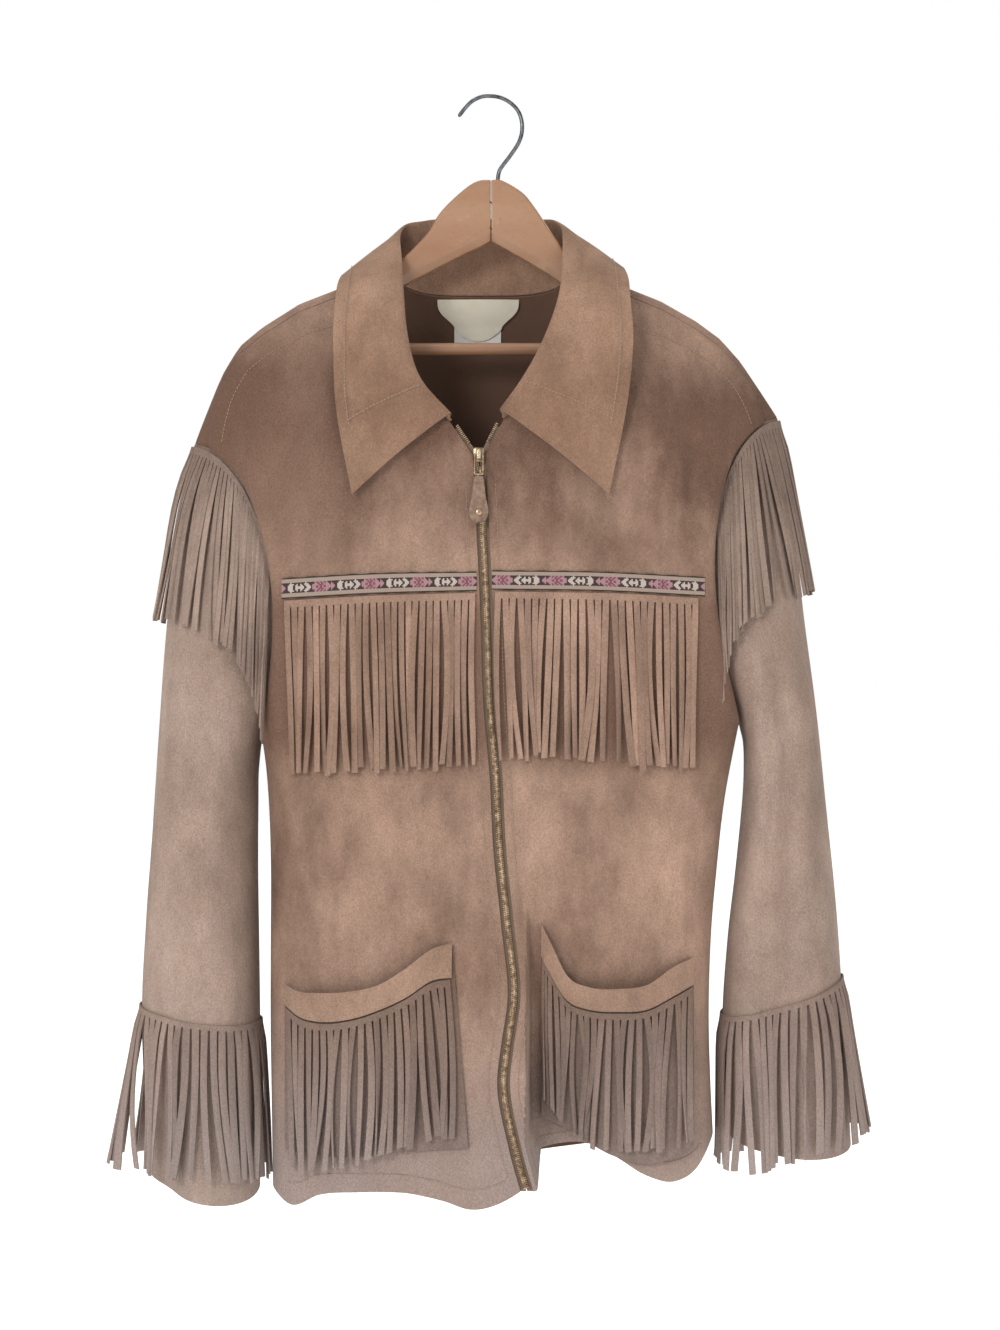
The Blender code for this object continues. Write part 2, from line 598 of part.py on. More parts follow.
# Fringe round each armhole and round each cuff
for side, tag in SIDES:
    def armhole_fringe(u, d):
        drop = 2.5 + (138 - 20 * np.abs(u)) * d
        lift = 0.8 + 2 * ease(d / 0.2) + 6 * d ** 1.5
        flow = hanging(side, u, 0.0, drop, lift)
        root = sleeve(side, u, 0.0)
        x = root[..., 0] + side * (1.5 + 22 * d * np.abs(u))
        z = root[..., 2] - drop
        y = root[..., 1].copy()
        for way in (1, -1):
            deep = np.abs(beside(side, way, x, z))
            y = np.where(np.sign(u) == way, -way * (np.maximum(np.abs(y), deep) + lift + 1), y)
        k = ease(np.abs(u) / 0.12)[..., None]
        return flow + (pts(x, z, y) - flow) * k

    def cuff_fringe(u, d):
        flare = (22 if side < 0 else 9) * np.clip(np.cos(2 * np.pi * u), 0, 1) ** 2
        p = hanging(side, u, 0.825, 100 * d, 0.8 + 2 * ease(d / 0.2) + (2 + flare) * d ** 1.4)
        p[..., 2] -= 22 * d ** 2
        return p
    end, n = (0.232, 36) if side < 0 else (0.168, 31)
    bm = comb(armhole_fringe, -0.2, end, n, 0.74, [0, 0.05, 0.3, 0.62, 1])
    mesh_object("armhole_fringe_" + tag, thicken(bm, -1.5 * side), SUEDE)
    bm = comb(cuff_fringe, -0.495, 0.485, 22, 0.72, [0, 0.05, 0.5, 1])
    mesh_object("cuff_fringe_" + tag, thicken(bm, -1.5 * side), SUEDE_COOL)

# Zip: tapes behind the fronts' edges, the closed chain, the two open rows above the slider
for side, tag in SIDES:
    def tape(w, t):
        x, z, y = inner_edge(side, t)
        return pts(x - side * (4.6 - 5.6 * w), z, y + 2.9)

    def row(w, t):
        p = tape(w * 0.32, t)
        p[..., 1] -= 0.5
        return p
    bm = grid(tape, [0, 1], FRONT_ROWS[:14] + [0.88])
    mesh_object("zip_tape_" + tag, thicken(bm, 0.8 * side), (0.23, 0.19, 0.12, 1))
    bm = grid(row, [0, 1], [0.869, 0.885])
    mesh_object("zip_row_" + tag, thicken(bm, -1.8 * side), BRASS, 1.0, 0.4)


def chain(w, t):
    x, z, y = zip_line(t)
    return pts(x - 2.6 + 5.2 * w, z, y + 2.4)


mesh_object("zip_chain", thicken(grid(chain, [0, 1], [0.003] + FRONT_ROWS[1:13] + [0.852]), -1.8), BRASS, 1.0, 0.4)

# Slider with its bridge
mesh_object("zip_slider", block(-9.3, -290, -66.2, 8, 11, 6.4), BRASS, 1.0, 0.35)


def bridge(u, t):
    a = np.pi * t
    ring = np.array([(-1, -1), (1, -1), (1, 1), (-1, 1), (-1, -1)], float)
    i = np.rint(u * 4).astype(int)
    r = 3.9 + 0.6 * ring[i, 1]
    return pts(-9.3 + 1.6 * ring[i, 0], -290 + r * np.cos(a), -69.5 - r * 1.15 * np.sin(a))


mesh_object("zip_bridge", tube(bridge, 4, np.linspace(0, 1, 9)), (0.62, 0.55, 0.40, 1), 1.0, 0.4)


# Pull: wire link through the bridge, leather tab and rivet
def link(u, t):
    path = [(0, -290), (3.3, -290), (3.3, -298), (3.3, -305.5), (0, -305.5), (-3.3, -305.5), (-3.3, -298),
            (-3.3, -290), (0, -290)]
    p = np.asarray(path, float)
    i = np.rint(t * 8).astype(int) % 8
    a = 2 * np.pi * u
    cx = np.sign(p[i, 0])
    top = (p[i, 1] == -290)
    low = (p[i, 1] == -305.5)
    rx = 0.8 * np.cos(a) * np.where(top & (cx == 0), 0, np.where(low & (cx == 0), 0, 1)) * np.where(cx == 0, 1, cx)
    rz = 0.8 * np.cos(a) * np.where(top, 1, np.where(low, -1, 0))
    return pts(-9.3 + p[i, 0] + rx, p[i, 1] + rz, -71.4 + 0.8 * np.sin(a))


bm = grid(link, np.arange(7) / 6, np.arange(9) / 8, wrap=True)
mesh_object("pull_link", bm, BRASS, 1.0, 0.35)


def tab(w, t):
    half = straight([(0, 3.4), (0.12, 4.2), (0.45, 5.4), (0.75, 7.2), (0.9, 6.4), (1, 3.6)], t)[..., 0]
    return pts(-9.3 + half * w, -307.2 - 35.5 * t, -70.2)


mesh_object("pull_tab", thicken(grid(tab, [-1, 0, 1], [0, 0.12, 0.45, 0.75, 0.9, 1]), 2.4), (0.16, 0.09, 0.05, 1))
bm = bmesh.new()
bmesh.ops.create_cone(bm, cap_ends=True, segments=12, radius1=0.0026, radius2=0.002, depth=0.001)
for v in bm.verts:
    v.co = (v.co.x - 0.0093, v.co.z - 0.0733, v.co.y - 0.335)
mesh_object("pull_rivet", bm, BRASS, 1.0, 0.35)


# Labels inside the back of the neck
def inside_back(x, z, gap):
    """A place in front of the back's inner face."""
    x, z = np.broadcast_arrays(np.asarray(x, float), np.asarray(z, float))
    y = []
    for a, b in zip(x.ravel(), z.ravel()):
        p = back((a + 237) / 466, np.array([0.8333, 0.8667, 0.9]))
        y.append(np.interp(b, p[:, 2], p[:, 1]))
    return pts(x, z, np.array(y).reshape(x.shape) - 2.0 - gap)


def label(w, t):
    half = 33 - 14 * ease(t) ** 2
    return inside_back(-10.5 + half * w, -157.5 - 33 * t * (1 - 0.3 * w * w), 2.4)


def care_label(w, t):
    return inside_back(-11 + 19 * w, -175 - 17 * t, 0.9)


mesh_object("label", thicken(grid(label, np.linspace(-1, 1, 7), [0, 0.3, 0.6, 1]), -0.5), (0.72, 0.65, 0.50, 1))
mesh_object("care_label", thicken(grid(care_label, [-1, -0.4, 0.4, 1], [0, 0.5, 1]), -0.3), (0.85, 0.84, 0.80, 1))

# Hanger: two arms joined at the middle, the bar and the hook
for side, tag in SIDES:
    def arm(u, t):
        rows = [(i / 10,) + r for i, r in enumerate(ARM[side])]
        x, top, face, low = np.moveaxis(straight(rows, t), -1, 0)
        i = np.rint(u * 8).astype(int) % 8
        y = np.array([-6.5, -4.5, 4.5, 6.5, 6.5, 2.5, -2.5, -6.5])[i]
        drop = np.array([2, 0, 0, 2, 0, 0, 0, 0])[i]
        level = np.array([0, 0, 0, 0, 1, 2, 2, 1])[i]
        z = np.where(level == 0, top - drop, np.where(level == 1, face, low))
        return pts(side * x, z, y)
    mesh_object("hanger_" + tag, tube(arm, 8, np.arange(11) / 10), (0.62, 0.36, 0.18, 1), 0.0, 0.5)


def bar(u, t):
    a = 2 * np.pi * u
    return pts(-157.8 + 311 * t, -201 + 5 * np.sin(a), 5 * np.cos(a))


def hook(u, t):
    n = len(HOOK) - 1
    rows = [(i / n,) + r for i, r in enumerate(HOOK)]
    c = curve(rows, t)
    d = curve(rows, np.minimum(t + 0.01, 1)) - curve(rows, np.maximum(t - 0.01, 0))
    d /= np.linalg.norm(d, axis=-1, keepdims=True)
    a = 2 * np.pi * u
    side_x = d[..., 1] * 1.6 * np.cos(a)
    side_z = -d[..., 0] * 1.6 * np.cos(a)
    return pts(c[..., 0] + side_x, c[..., 1] + side_z, 1.6 * np.sin(a))


mesh_object("hanger_bar", tube(bar, 10, [0, 1]), (0.62, 0.36, 0.18, 1), 0.0, 0.5)
mesh_object("hook", tube(hook, 7, np.linspace(0, 1, 23)), (0.20, 0.21, 0.22, 1), 1.0, 0.35)
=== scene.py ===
import math
from functools import partial

import bmesh
import bpy
import numpy as np
from mathutils import Matrix, Vector, kdtree


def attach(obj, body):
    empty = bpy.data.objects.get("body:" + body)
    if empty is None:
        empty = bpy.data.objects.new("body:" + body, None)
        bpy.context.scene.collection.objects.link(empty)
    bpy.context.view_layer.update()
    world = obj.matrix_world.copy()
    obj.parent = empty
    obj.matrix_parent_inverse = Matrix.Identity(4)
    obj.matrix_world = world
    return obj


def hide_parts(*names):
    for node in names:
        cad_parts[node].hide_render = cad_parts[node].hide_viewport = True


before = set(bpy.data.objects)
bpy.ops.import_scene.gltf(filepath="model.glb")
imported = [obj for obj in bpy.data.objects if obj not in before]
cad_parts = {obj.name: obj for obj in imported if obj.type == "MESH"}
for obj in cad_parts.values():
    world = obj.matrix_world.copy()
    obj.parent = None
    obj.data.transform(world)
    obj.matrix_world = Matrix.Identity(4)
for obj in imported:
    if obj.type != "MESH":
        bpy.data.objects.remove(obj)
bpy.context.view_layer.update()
JACKET = "jacket"
PULL = "zip_pull"

# Thickness of the cloths and hides
WALL = 2.0
COLLAR_WALL = 2.2
POCKET_WALL = 1.6
STRAND_WALL = 1.3
RIBBON_WALL = 0.7
TAPE_WALL = 0.8
TAB_WALL = 2.2

# Studio. A plain pale floor and three large soft lamps, with the camera square on to the
# jacket at the height of its chest.
FLOOR_Z = -1.05
CAMERA_AT = (0.0072, -2.4, -0.4536)
LENS = 81.2
AMBIENT = 0.44
TOP_LIGHT = 1.2
LAMPS = [  # name, place, aim, size, power
    ("key", (-1.1, -2.2, 0.3), (0, 0, -0.5), 0.7, 26),
    ("fill", (1.7, -2.0, -0.3), (0, 0, -0.5), 1.8, 11),
    ("back", (0.3, 1.8, 1.0), (0, 0, -0.4), 1.6, 18),
]

bm = bmesh.new()
bmesh.ops.create_grid(bm, x_segments=1, y_segments=1, size=9)
for v in bm.verts:
    v.co.z = FLOOR_Z
floor_mesh = bpy.data.meshes.new("floor")
bm.to_mesh(floor_mesh)
bm.free()
floor = bpy.data.objects.new("floor", floor_mesh)
bpy.context.collection.objects.link(floor)
floor_paint = bpy.data.materials.new("pale_floor")
floor_paint.use_nodes = True
floor_shader = floor_paint.node_tree.nodes["Principled BSDF"]
for socket, value in (("Base Color", (0.86, 0.86, 0.85, 1)), ("Roughness", 0.9),
                      ("Emission Color", (1, 1, 1, 1)), ("Emission Strength", 0.5)):
    floor_shader.inputs[socket].default_value = value
floor_mesh.materials.append(floor_paint)

for name, place, aim, size, power in LAMPS:
    lamp = bpy.data.lights.new(name, "AREA")
    lamp.size = size
    lamp.energy = power
    ob = bpy.data.objects.new(name, lamp)
    ob.location = place
    ob.rotation_euler = (Vector(aim) - Vector(place)).to_track_quat("-Z", "Y").to_euler()
    bpy.context.collection.objects.link(ob)

sun = bpy.data.lights.new("top", "SUN")
sun.energy = TOP_LIGHT
sun.angle = math.radians(60)
sun_ob = bpy.data.objects.new("top", sun)
sun_ob.rotation_euler = (math.radians(14), math.radians(-8), 0)
bpy.context.collection.objects.link(sun_ob)

world = bpy.data.worlds.new("studio")
world.use_nodes = True
tree = world.node_tree
lit = tree.nodes["Background"]
lit.inputs["Color"].default_value = (1.0, 0.995, 0.985, 1)
lit.inputs["Strength"].default_value = AMBIENT
seen = tree.nodes.new("ShaderNodeBackground")
seen.inputs["Color"].default_value = (1, 1, 1, 1)
ray = tree.nodes.new("ShaderNodeLightPath")
blend = tree.nodes.new("ShaderNodeMixShader")
for given, taken in (
        (ray.outputs["Is Camera Ray"], blend.inputs[0]), (lit.outputs[0], blend.inputs[1]),
        (seen.outputs[0], blend.inputs[2]), (blend.outputs[0], tree.nodes["World Output"].inputs[0])):
    tree.links.new(given, taken)
bpy.context.scene.world = world
bpy.context.scene.view_settings.view_transform = "Standard"

camera = bpy.data.cameras.new("camera")
camera.lens = LENS
camera.sensor_width = 36
camera_ob = bpy.data.objects.new("camera", camera)
camera_ob.location = CAMERA_AT
camera_ob.rotation_euler = (math.radians(90), 0, 0)
bpy.context.collection.objects.link(camera_ob)
bpy.context.scene.camera = camera_ob

# Hanger. Two arms of lacquered beech butted at the middle, with a round bar between their
# ends and two corrugated fasteners driven across the joint.
WOOD = (0.33, 0.18, 0.10)
WOOD_DARK = (0.27, 0.125, 0.058)
SIDES = ((-1, "left"), (1, "right"))
ARM = {  # x, top, lower edge of the flat face, underside
    -1: [(0.2, -66, -108, -115), (9, -66.5, -112, -120), (18, -71, -117, -124), (32, -83, -124, -131),
         (42, -94.1, -129, -136), (51, -109.1, -134, -141), (72, -130.1, -144, -152),
         (90, -143.4, -156, -163), (125, -163.1, -172, -180), (161, -181.1, -190, -197),
         (186, -197.1, -203, -207)],
    1: [(0.2, -66, -108, -115), (9, -66.5, -112, -120), (25, -76, -121, -129), (35, -88, -127, -135),
        (45, -103.1, -134, -141), (58, -122.1, -141, -150), (74, -144.4, -154, -160),
        (106, -159.1, -168, -174), (136, -173.1, -181, -187), (160, -186.1, -193, -199),
        (178, -198.1, -203, -206)],
}
ARM_SECTION = [  # y, drop from the top, level: 0 top, 1 face edge, 2 underside
    (-6.5, 2, 0), (-4.5, 0, 0), (4.5, 0, 0), (6.5, 2, 0), (6.5, 0, 1), (2.5, 0, 2), (-2.5, 0, 2),
    (-6.5, 0, 1)]
BAR = (-157.8, 153.2, -201, 5)  # left end, right end, height, radius
FASTENERS = [(-85, 1.2), (-105.6, -1.5)]  # height, bow of the strip
ARM_FACE = -6.45


def curve(rows, t):
    """Smooth values between a table's rows, whose first column is the place."""
    a = np.asarray(rows, float)
    k = a[:, 0]
    v = a[:, 1:]
    m = np.gradient(v, k, axis=0)
    t = np.clip(np.asarray(t, float), k[0], k[-1])
    i = np.clip(np.searchsorted(k, t, side="right") - 1, 0, len(k) - 2)
    h = (k[i + 1] - k[i])[..., None]
    x = (t - k[i])[..., None] / h
    lead = v[i] * (1 + 2 * x) * (1 - x) ** 2 + v[i + 1] * x * x * (3 - 2 * x)
    return lead + m[i] * h * x * (1 - x) ** 2 + m[i + 1] * h * x * x * (x - 1)


def columns(rows, t):
    """The same, one array for each column."""
    return np.moveaxis(curve(rows, t), -1, 0)


def ease(x):
    x = np.clip(x, 0, 1)
    return x * x * (3 - 2 * x)


def pts(x, z, y):
    """Points in millimetres from x, z and y."""
    x, z, y = np.broadcast_arrays(x, z, y)
    return np.stack([x, y, z], -1).astype(float)


def grid(fn, us, vs, wrap=False):
    """A grid whose points are placed by fn over the lists us and vs."""
    us = np.asarray(us, float)
    vs = np.asarray(vs, float)
    bm = bmesh.new()
    bmesh.ops.create_grid(bm, x_segments=len(us) - 1, y_segments=len(vs) - 1, size=1)
    bm.verts.ensure_lookup_table()
    co = np.array([v.co[:] for v in bm.verts])
    i = np.rint((co[:, 0] + 1) / 2 * (len(us) - 1)).astype(int)
    j = np.rint((co[:, 1] + 1) / 2 * (len(vs) - 1)).astype(int)
    for v, c in zip(bm.verts, fn(us[i], vs[j]) * 0.001):
        v.co = c
    if wrap:
        bmesh.ops.remove_doubles(bm, verts=bm.verts, dist=1e-5)
    bm.normal_update()
    return bm


def thicken(bm, mm):
    """Walls: the sheet gets its thickness on the side that mm's sign names."""
    bmesh.ops.solidify(bm, geom=bm.faces[:], thickness=mm * 0.001)
    return bm


def tube(fn, around, ts):
    """A closed bar: fn gives the ring at each place, and the ends are capped."""
    bm = grid(fn, np.arange(around + 1) / around, ts, wrap=True)
    bmesh.ops.holes_fill(bm, edges=bm.edges[:], sides=0)
    return bm


def piece(name, bm, paint, nodes=(), body=JACKET, sharp=45):
    """The finished object: smooth, painted, riding on its body and standing for its nodes."""
    bmesh.ops.recalc_face_normals(bm, faces=bm.faces)
    if bm.calc_volume(signed=True) < 0:
        bmesh.ops.reverse_faces(bm, faces=bm.faces)
    mesh = bpy.data.meshes.new(name)
    bm.to_mesh(mesh)
    bm.free()
    mesh.shade_smooth()
    mesh.set_sharp_from_angle(angle=math.radians(sharp))
    mesh.materials.append(paint)
    ob = bpy.data.objects.new(name, mesh)
    bpy.context.collection.objects.link(ob)
    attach(ob, body)
    if nodes:
        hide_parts(*nodes)
    return ob


class Paint:
    """A material's node tree, with short words for the nodes that the finishes use."""

    def __init__(self, name, **sockets):
        self.material = bpy.data.materials.new(name)
        self.material.use_nodes = True
        self.tree = self.material.node_tree
        self.shader = self.tree.nodes["Principled BSDF"]
        for socket, value in sockets.items():
            self.shader.inputs[socket.replace("_", " ")].default_value = value

    def node(self, kind, **values):
        """A node of this kind, its fields and sockets set, and links made where a socket is given."""
        made = self.tree.nodes.new(kind)
        for key, value in values.items():
            if hasattr(made, key):
                setattr(made, key, value)
                continue
            word = key.replace("_", " ")
            socket = made.inputs[int(word[1:])] if word[1:].isdigit() else made.inputs[word]
            if isinstance(value, bpy.types.NodeSocket):
                self.tree.links.new(value, socket)
            else:
                socket.default_value = value
        return made

    def mix(self, factor, one, two, blend="MIX"):
        """Two colours mixed."""
        made = self.tree.nodes.new("ShaderNodeMix")
        made.data_type = "RGBA"
        made.blend_type = blend
        for socket, value in ((made.inputs[0], factor), (made.inputs[6], one), (made.inputs[7], two)):
            if isinstance(value, bpy.types.NodeSocket):
                self.tree.links.new(value, socket)
            else:
                socket.default_value = value if isinstance(value, float) else (*value[:3], 1)
        return made.outputs[2]

    def span(self, value, low, high, to_low=0.0, to_high=1.0):
        """A value moved from one span to another, held at its ends."""
        return self.node("ShaderNodeMapRange", Value=value, From_Min=low, From_Max=high, To_Min=to_low,
                         To_Max=to_high).outputs[0]

    def times(self, one, two):
        """Two values multiplied."""
        return self.node("ShaderNodeMath", operation="MULTIPLY", _0=one, _1=two).outputs[0]

    def plus(self, value, part, other):
        """Part of a value added to another."""
        return self.node("ShaderNodeMath", operation="MULTIPLY_ADD", _0=value, _1=part, _2=other).outputs[0]

    def shaded(self, colour, value):
        """A colour made darker or lighter by a value."""
        grey = self.node("ShaderNodeCombineColor", Red=value, Green=value, Blue=value).outputs[0]
        return self.mix(1.0, colour, grey, "MULTIPLY")

    def wave(self, scale, distortion, direction="X"):
        """Fine stripes, as in woven cloth or twisted thread."""
        return self.node("ShaderNodeTexWave", Vector=self.place(), bands_direction=direction, Scale=scale,
                         Distortion=distortion).outputs["Fac"]

    def place(self, scale=(1, 1, 1)):
        """Object coordinates, stretched."""
        spot = self.node("ShaderNodeTexCoord").outputs["Object"]
        return self.node("ShaderNodeMapping", Vector=spot, Scale=scale).outputs[0]

    def noise(self, scale, detail=3.0, stretch=(1, 1, 1), rough=0.5):
        return self.node("ShaderNodeTexNoise", Vector=self.place(stretch), Scale=scale, Detail=detail,
                         Roughness=rough).outputs["Fac"]

    def relief(self, height, depth, strength=1.0):
        """Bump from a height."""
        bump = self.node("ShaderNodeBump", Height=height, Distance=depth, Strength=strength)
        self.tree.links.new(bump.outputs[0], self.shader.inputs["Normal"])

    def colour(self, value, socket="Base Color"):
        self.tree.links.new(value, self.shader.inputs[socket])
        return self.material


def metal(name, scale, spread, light, dark, depth, detail=4.0, rough=None, **sockets):
    """A metal with patches of tarnish, which may be rougher too."""
    made = Paint(name, **sockets)
    patina = made.noise(scale, detail)
    made.relief(patina, depth)
    if rough:
        made.colour(made.span(patina, *rough), "Roughness")
    return made.colour(made.mix(made.span(patina, *spread), light, dark))


def bevelled(ob, width, segments=2):
    """Softened edges."""
    bevel = ob.modifiers.new("soft_edge", "BEVEL")
    bevel.width = width
    bevel.segments = segments
    return bevel


def beech(name, stretch):
    """Lacquered beech with its grain along the piece."""
    wood = Paint(name, Roughness=0.42, Coat_Weight=0.25, Coat_Roughness=0.3)
    grain = wood.noise(26, 4.0, stretch)
    fleck = wood.noise(420, 2.0, (stretch[0] * 2, stretch[1], stretch[2]))
    base = wood.mix(wood.span(grain, 0.34, 0.66), WOOD, WOOD_DARK)
    base = wood.mix(wood.span(fleck, 0.56, 0.72, 0.0, 0.5), base, WOOD_DARK)
    wear = wood.noise(55, 5.0)
    base = wood.mix(wood.span(wear, 0.6, 0.75, 0.0, 0.3), base, (0.62, 0.40, 0.24))
    wood.relief(fleck, 0.00012, 0.5)
    return wood.colour(base)


beech_arms = beech("lacquered_beech", (0.25, 1, 1))
beech_bar = beech("turned_beech", (0.12, 1.5, 1.5))

for side, tag in SIDES:
    rows = [(i / 10,) + r for i, r in enumerate(ARM[side])]

    def arm(u, t):
        x, top, face, low = columns(rows, t)
        y, drop, level = np.array(ARM_SECTION)[np.rint(u * 8).astype(int) % 8].T
        z = np.where(level == 0, top - drop, np.where(level == 1, face, low))
        return pts(side * x, z, y)

    ob = piece("hanger_arm_" + tag, tube(arm, 8, np.linspace(0, 1, 61)), beech_arms,
               ["hanger_" + tag])
    bevelled(ob, 0.0011, 3).angle_limit = math.radians(28)


def bar(u, t):
    left, right, z, radius = BAR
    a = 2 * np.pi * u
    r = radius * np.sqrt(np.clip(1 - ((np.abs(t - 0.5) - 0.497) / 0.003).clip(0, 1) ** 2, 0.2, 1))
    return pts(left + (right - left) * t, z + r * np.sin(a), r * np.cos(a))


ends = np.array([0, 0.001, 0.002, 0.003])
piece("hanger_cross_bar", tube(bar, 40, np.concatenate([ends, np.linspace(0.01, 0.99, 60), 1 - ends[::-1]])),
      beech_bar, ["hanger_bar"])

old_steel = metal("old_steel", 380, (0.4, 0.65), (0.09, 0.075, 0.065), (0.025, 0.02, 0.018), 0.0001,
                  Metallic=0.85, Roughness=0.55)
for n, (height, bow) in enumerate(FASTENERS):

    def strip(k, w):
        x = -12.5 + 26 * k
        z = height + bow * (2 * k - 1) ** 2 + 0.9 * np.sin(2 * np.pi * 5 * k)
        return pts(x, z + 0.55 * (2 * w - 1), ARM_FACE)

    piece("corrugated_fastener_%d" % (n + 1), thicken(grid(strip, np.linspace(0, 1, 81), [0, 1]), 0.35),
          old_steel)

# Hook. A dark steel wire bent to a question mark and set in the joint of the two arms.
WIRE = 1.6
HOOK = [(5.5, -65.9), (6, -61), (8, -56), (15.5, -46), (22.5, -35), (25, -24), (23, -13), (17, -5), (8.5, 0),
        (0, 1.6), (-7.5, 1), (-15, -2.5), (-21, -8.5), (-26, -15)]
HOOK_ROWS = [(i / (len(HOOK) - 1),) + r for i, r in enumerate(HOOK)]


def hook(u, t):
    c = curve(HOOK_ROWS, t)
    d = curve(HOOK_ROWS, np.minimum(t + 0.01, 1)) - curve(HOOK_ROWS, np.maximum(t - 0.01, 0))
    d /= np.linalg.norm(d, axis=-1, keepdims=True)
    r = WIRE * np.sqrt(np.clip(1 - ((t - 0.975) / 0.025).clip(0, 1) ** 2, 0.04, 1))
    a = 2 * np.pi * u
    return pts(c[..., 0] + d[..., 1] * r * np.cos(a), c[..., 1] - d[..., 0] * r * np.cos(a), r * np.sin(a))


wire = metal("dark_wire", 240, (0.4, 0.7), (0.16, 0.17, 0.18), (0.06, 0.06, 0.065), 0.00005,
             Metallic=1.0, Roughness=0.38)
piece("hook_wire", tube(hook, 14, np.concatenate([np.linspace(0, 0.97, 130), np.linspace(0.975, 1, 8)])),
      wire, ["hook"])

# Sleeves. Each is one piece of suede sewn into a tube and set into the armhole, with a long
# soft fold down its front and a few short creases at the elbow.
SUEDE = (0.365, 0.238, 0.176)
SUEDE_DARK = (0.140, 0.080, 0.056)
# Grey of the painted cool shade on the lower part.
SUEDE_SHADE_GREY = (0.30, 0.245, 0.225)
INSIDE = (0.13, 0.075, 0.052)
SLEEVE = {  # t, outer x, z, inner x, z, half depth, middle depth, armhole set-in, front drop
    -1: [
        (0.00, -237, -277, -183, -510, 42, 0, 58, 0),
        (0.10, -249, -324, -184, -518, 46, 0, 38, 0),
        (0.20, -255, -378, -185, -528, 49, 0, 18, 0),
        (0.30, -261, -442, -186, -542, 50, 0, 5, 0),
        (0.40, -265, -506, -186, -562, 50, -2, 0, 0),
        (0.55, -270, -586, -186, -618, 50, -4, 0, 0),
        (0.70, -275, -658, -185, -678, 50, -6, 0, 2),
        (0.85, -278, -738, -184, -750, 50, -8, 0, 6),
        (1.00, -273, -850, -184, -868, 48, -8, 0, 16),
    ],
    1: [
        (0.00, 229, -256, 198, -499, 42, 0, 58, 0),
        (0.10, 236, -300, 200, -507, 46, -1, 38, 0),
        (0.20, 243, -354, 202, -518, 49, -3, 18, 0),
        (0.30, 250, -418, 202, -534, 50, -6, 5, 0),
        (0.40, 258, -482, 201, -556, 50, -8, 0, 0),
        (0.55, 266, -562, 195, -614, 50, -12, 0, 0),
        (0.70, 274, -642, 188, -674, 50, -14, 0, 2),
        (0.85, 279, -714, 184, -742, 50, -14, 0, 6),
        (1.00, 286, -832, 187, -822, 48, -14, 0, 12),
    ],
}
VALLEY = {  # t, place round the sleeve, depth
    -1: [(0, 0.22, 0), (0.5, 0.20, 2), (0.8, 0.16, 4), (0.9, 0.15, 9), (1, 0.15, 12)],
    1: [(0, 0.29, 0), (0.2, 0.29, 3), (0.35, 0.29, 11), (0.8, 0.30, 12), (1, 0.30, 6)],
}
SLEEVE_CREASES = {  # x, z, to x, to z, width, depth; a minus depth is a ridge
    -1: [(-246, -520, -212, -560, 9, 1.6), (-252, -610, -205, -636, 12, -1.5),
         (-236, -700, -206, -690, 8, 1.4), (-205, -560, -203, -690, 12, 2.0),
         (-262, -420, -236, -470, 9, 1.5), (-250, -800, -246, -860, 9, -1.8)],
    1: [(188, -500, 204, -516, 6, -2.6), (196, -545, 232, -575, 10, 2.2),
        (214, -600, 246, -585, 9, -1.6), (232, -460, 236, -600, 10, 1.8),
        (246, -640, 214, -668, 10, 1.8), (262, -720, 250, -840, 12, -2.0)],
}
SLEEVE_BACK_CREASES = {
    -1: [(-246, -500, -206, -545, 11, 1.8), (-205, -600, -250, -628, 10, -1.6),
         (-240, -680, -205, -660, 9, 1.5)],
    1: [(206, -500, 246, -540, 11, 1.8), (250, -610, 208, -635, 10, -1.6),
        (212, -690, 250, -665, 9, 1.5)],
}


def sleeve_form(side, u, t):
    """Sleeve: u round from the back (-0.5) by the outside (0) to the front, t down."""
    u, t = np.broadcast_arrays(np.asarray(u, float), np.asarray(t, float))
    xo, zo, xi, zi, b, yc, q, dz = columns(SLEEVE[side], t)
    c = np.cos(2 * np.pi * u)
    s = np.sin(2 * np.pi * u)
    inset = q * (np.sqrt(s * s + 0.004) - 0.063) * np.cos(np.pi * u)
    uv, depth = columns(VALLEY[side], t)
    dip = depth * np.exp(-((u - uv) / 0.06) ** 2)
    half = 0.5 + 0.5 * c
    x = xi + (xo - xi) * half - side * inset - side * 0.4 * dip * c
    z = zi + (zo - zi) * half - dz * np.maximum(s, 0)
    return pts(x, z, yc - b * s + dip * 0.9)


def creases(table, p):
    """Depth of the soft troughs and ridges of a table at the places p."""
    depth = np.zeros(p.shape[:-1])
    for x0, z0, x1, z1, width, deep in table:
        dx = x1 - x0
        dz = z1 - z0
        k = np.clip(((p[..., 0] - x0) * dx + (p[..., 2] - z0) * dz) / (dx * dx + dz * dz), 0, 1)
        away = np.hypot(p[..., 0] - x0 - dx * k, p[..., 2] - z0 - dz * k)
        depth += deep * np.exp(-(away / width) ** 2) * (0.45 + 0.55 * np.sin(np.pi * k))
    return depth


def ripple(p):
    """The slight unevenness of a hanging hide."""
    x = p[..., 0]
    z = p[..., 2]
    return (0.5 * np.sin(x / 17 + 1.3 * np.sin(z / 61)) + 0.4 * np.sin(x / 31 - z / 47 + 2)
            + 0.35 * np.sin(z / 23 + 1.7 * np.sin(x / 39)))


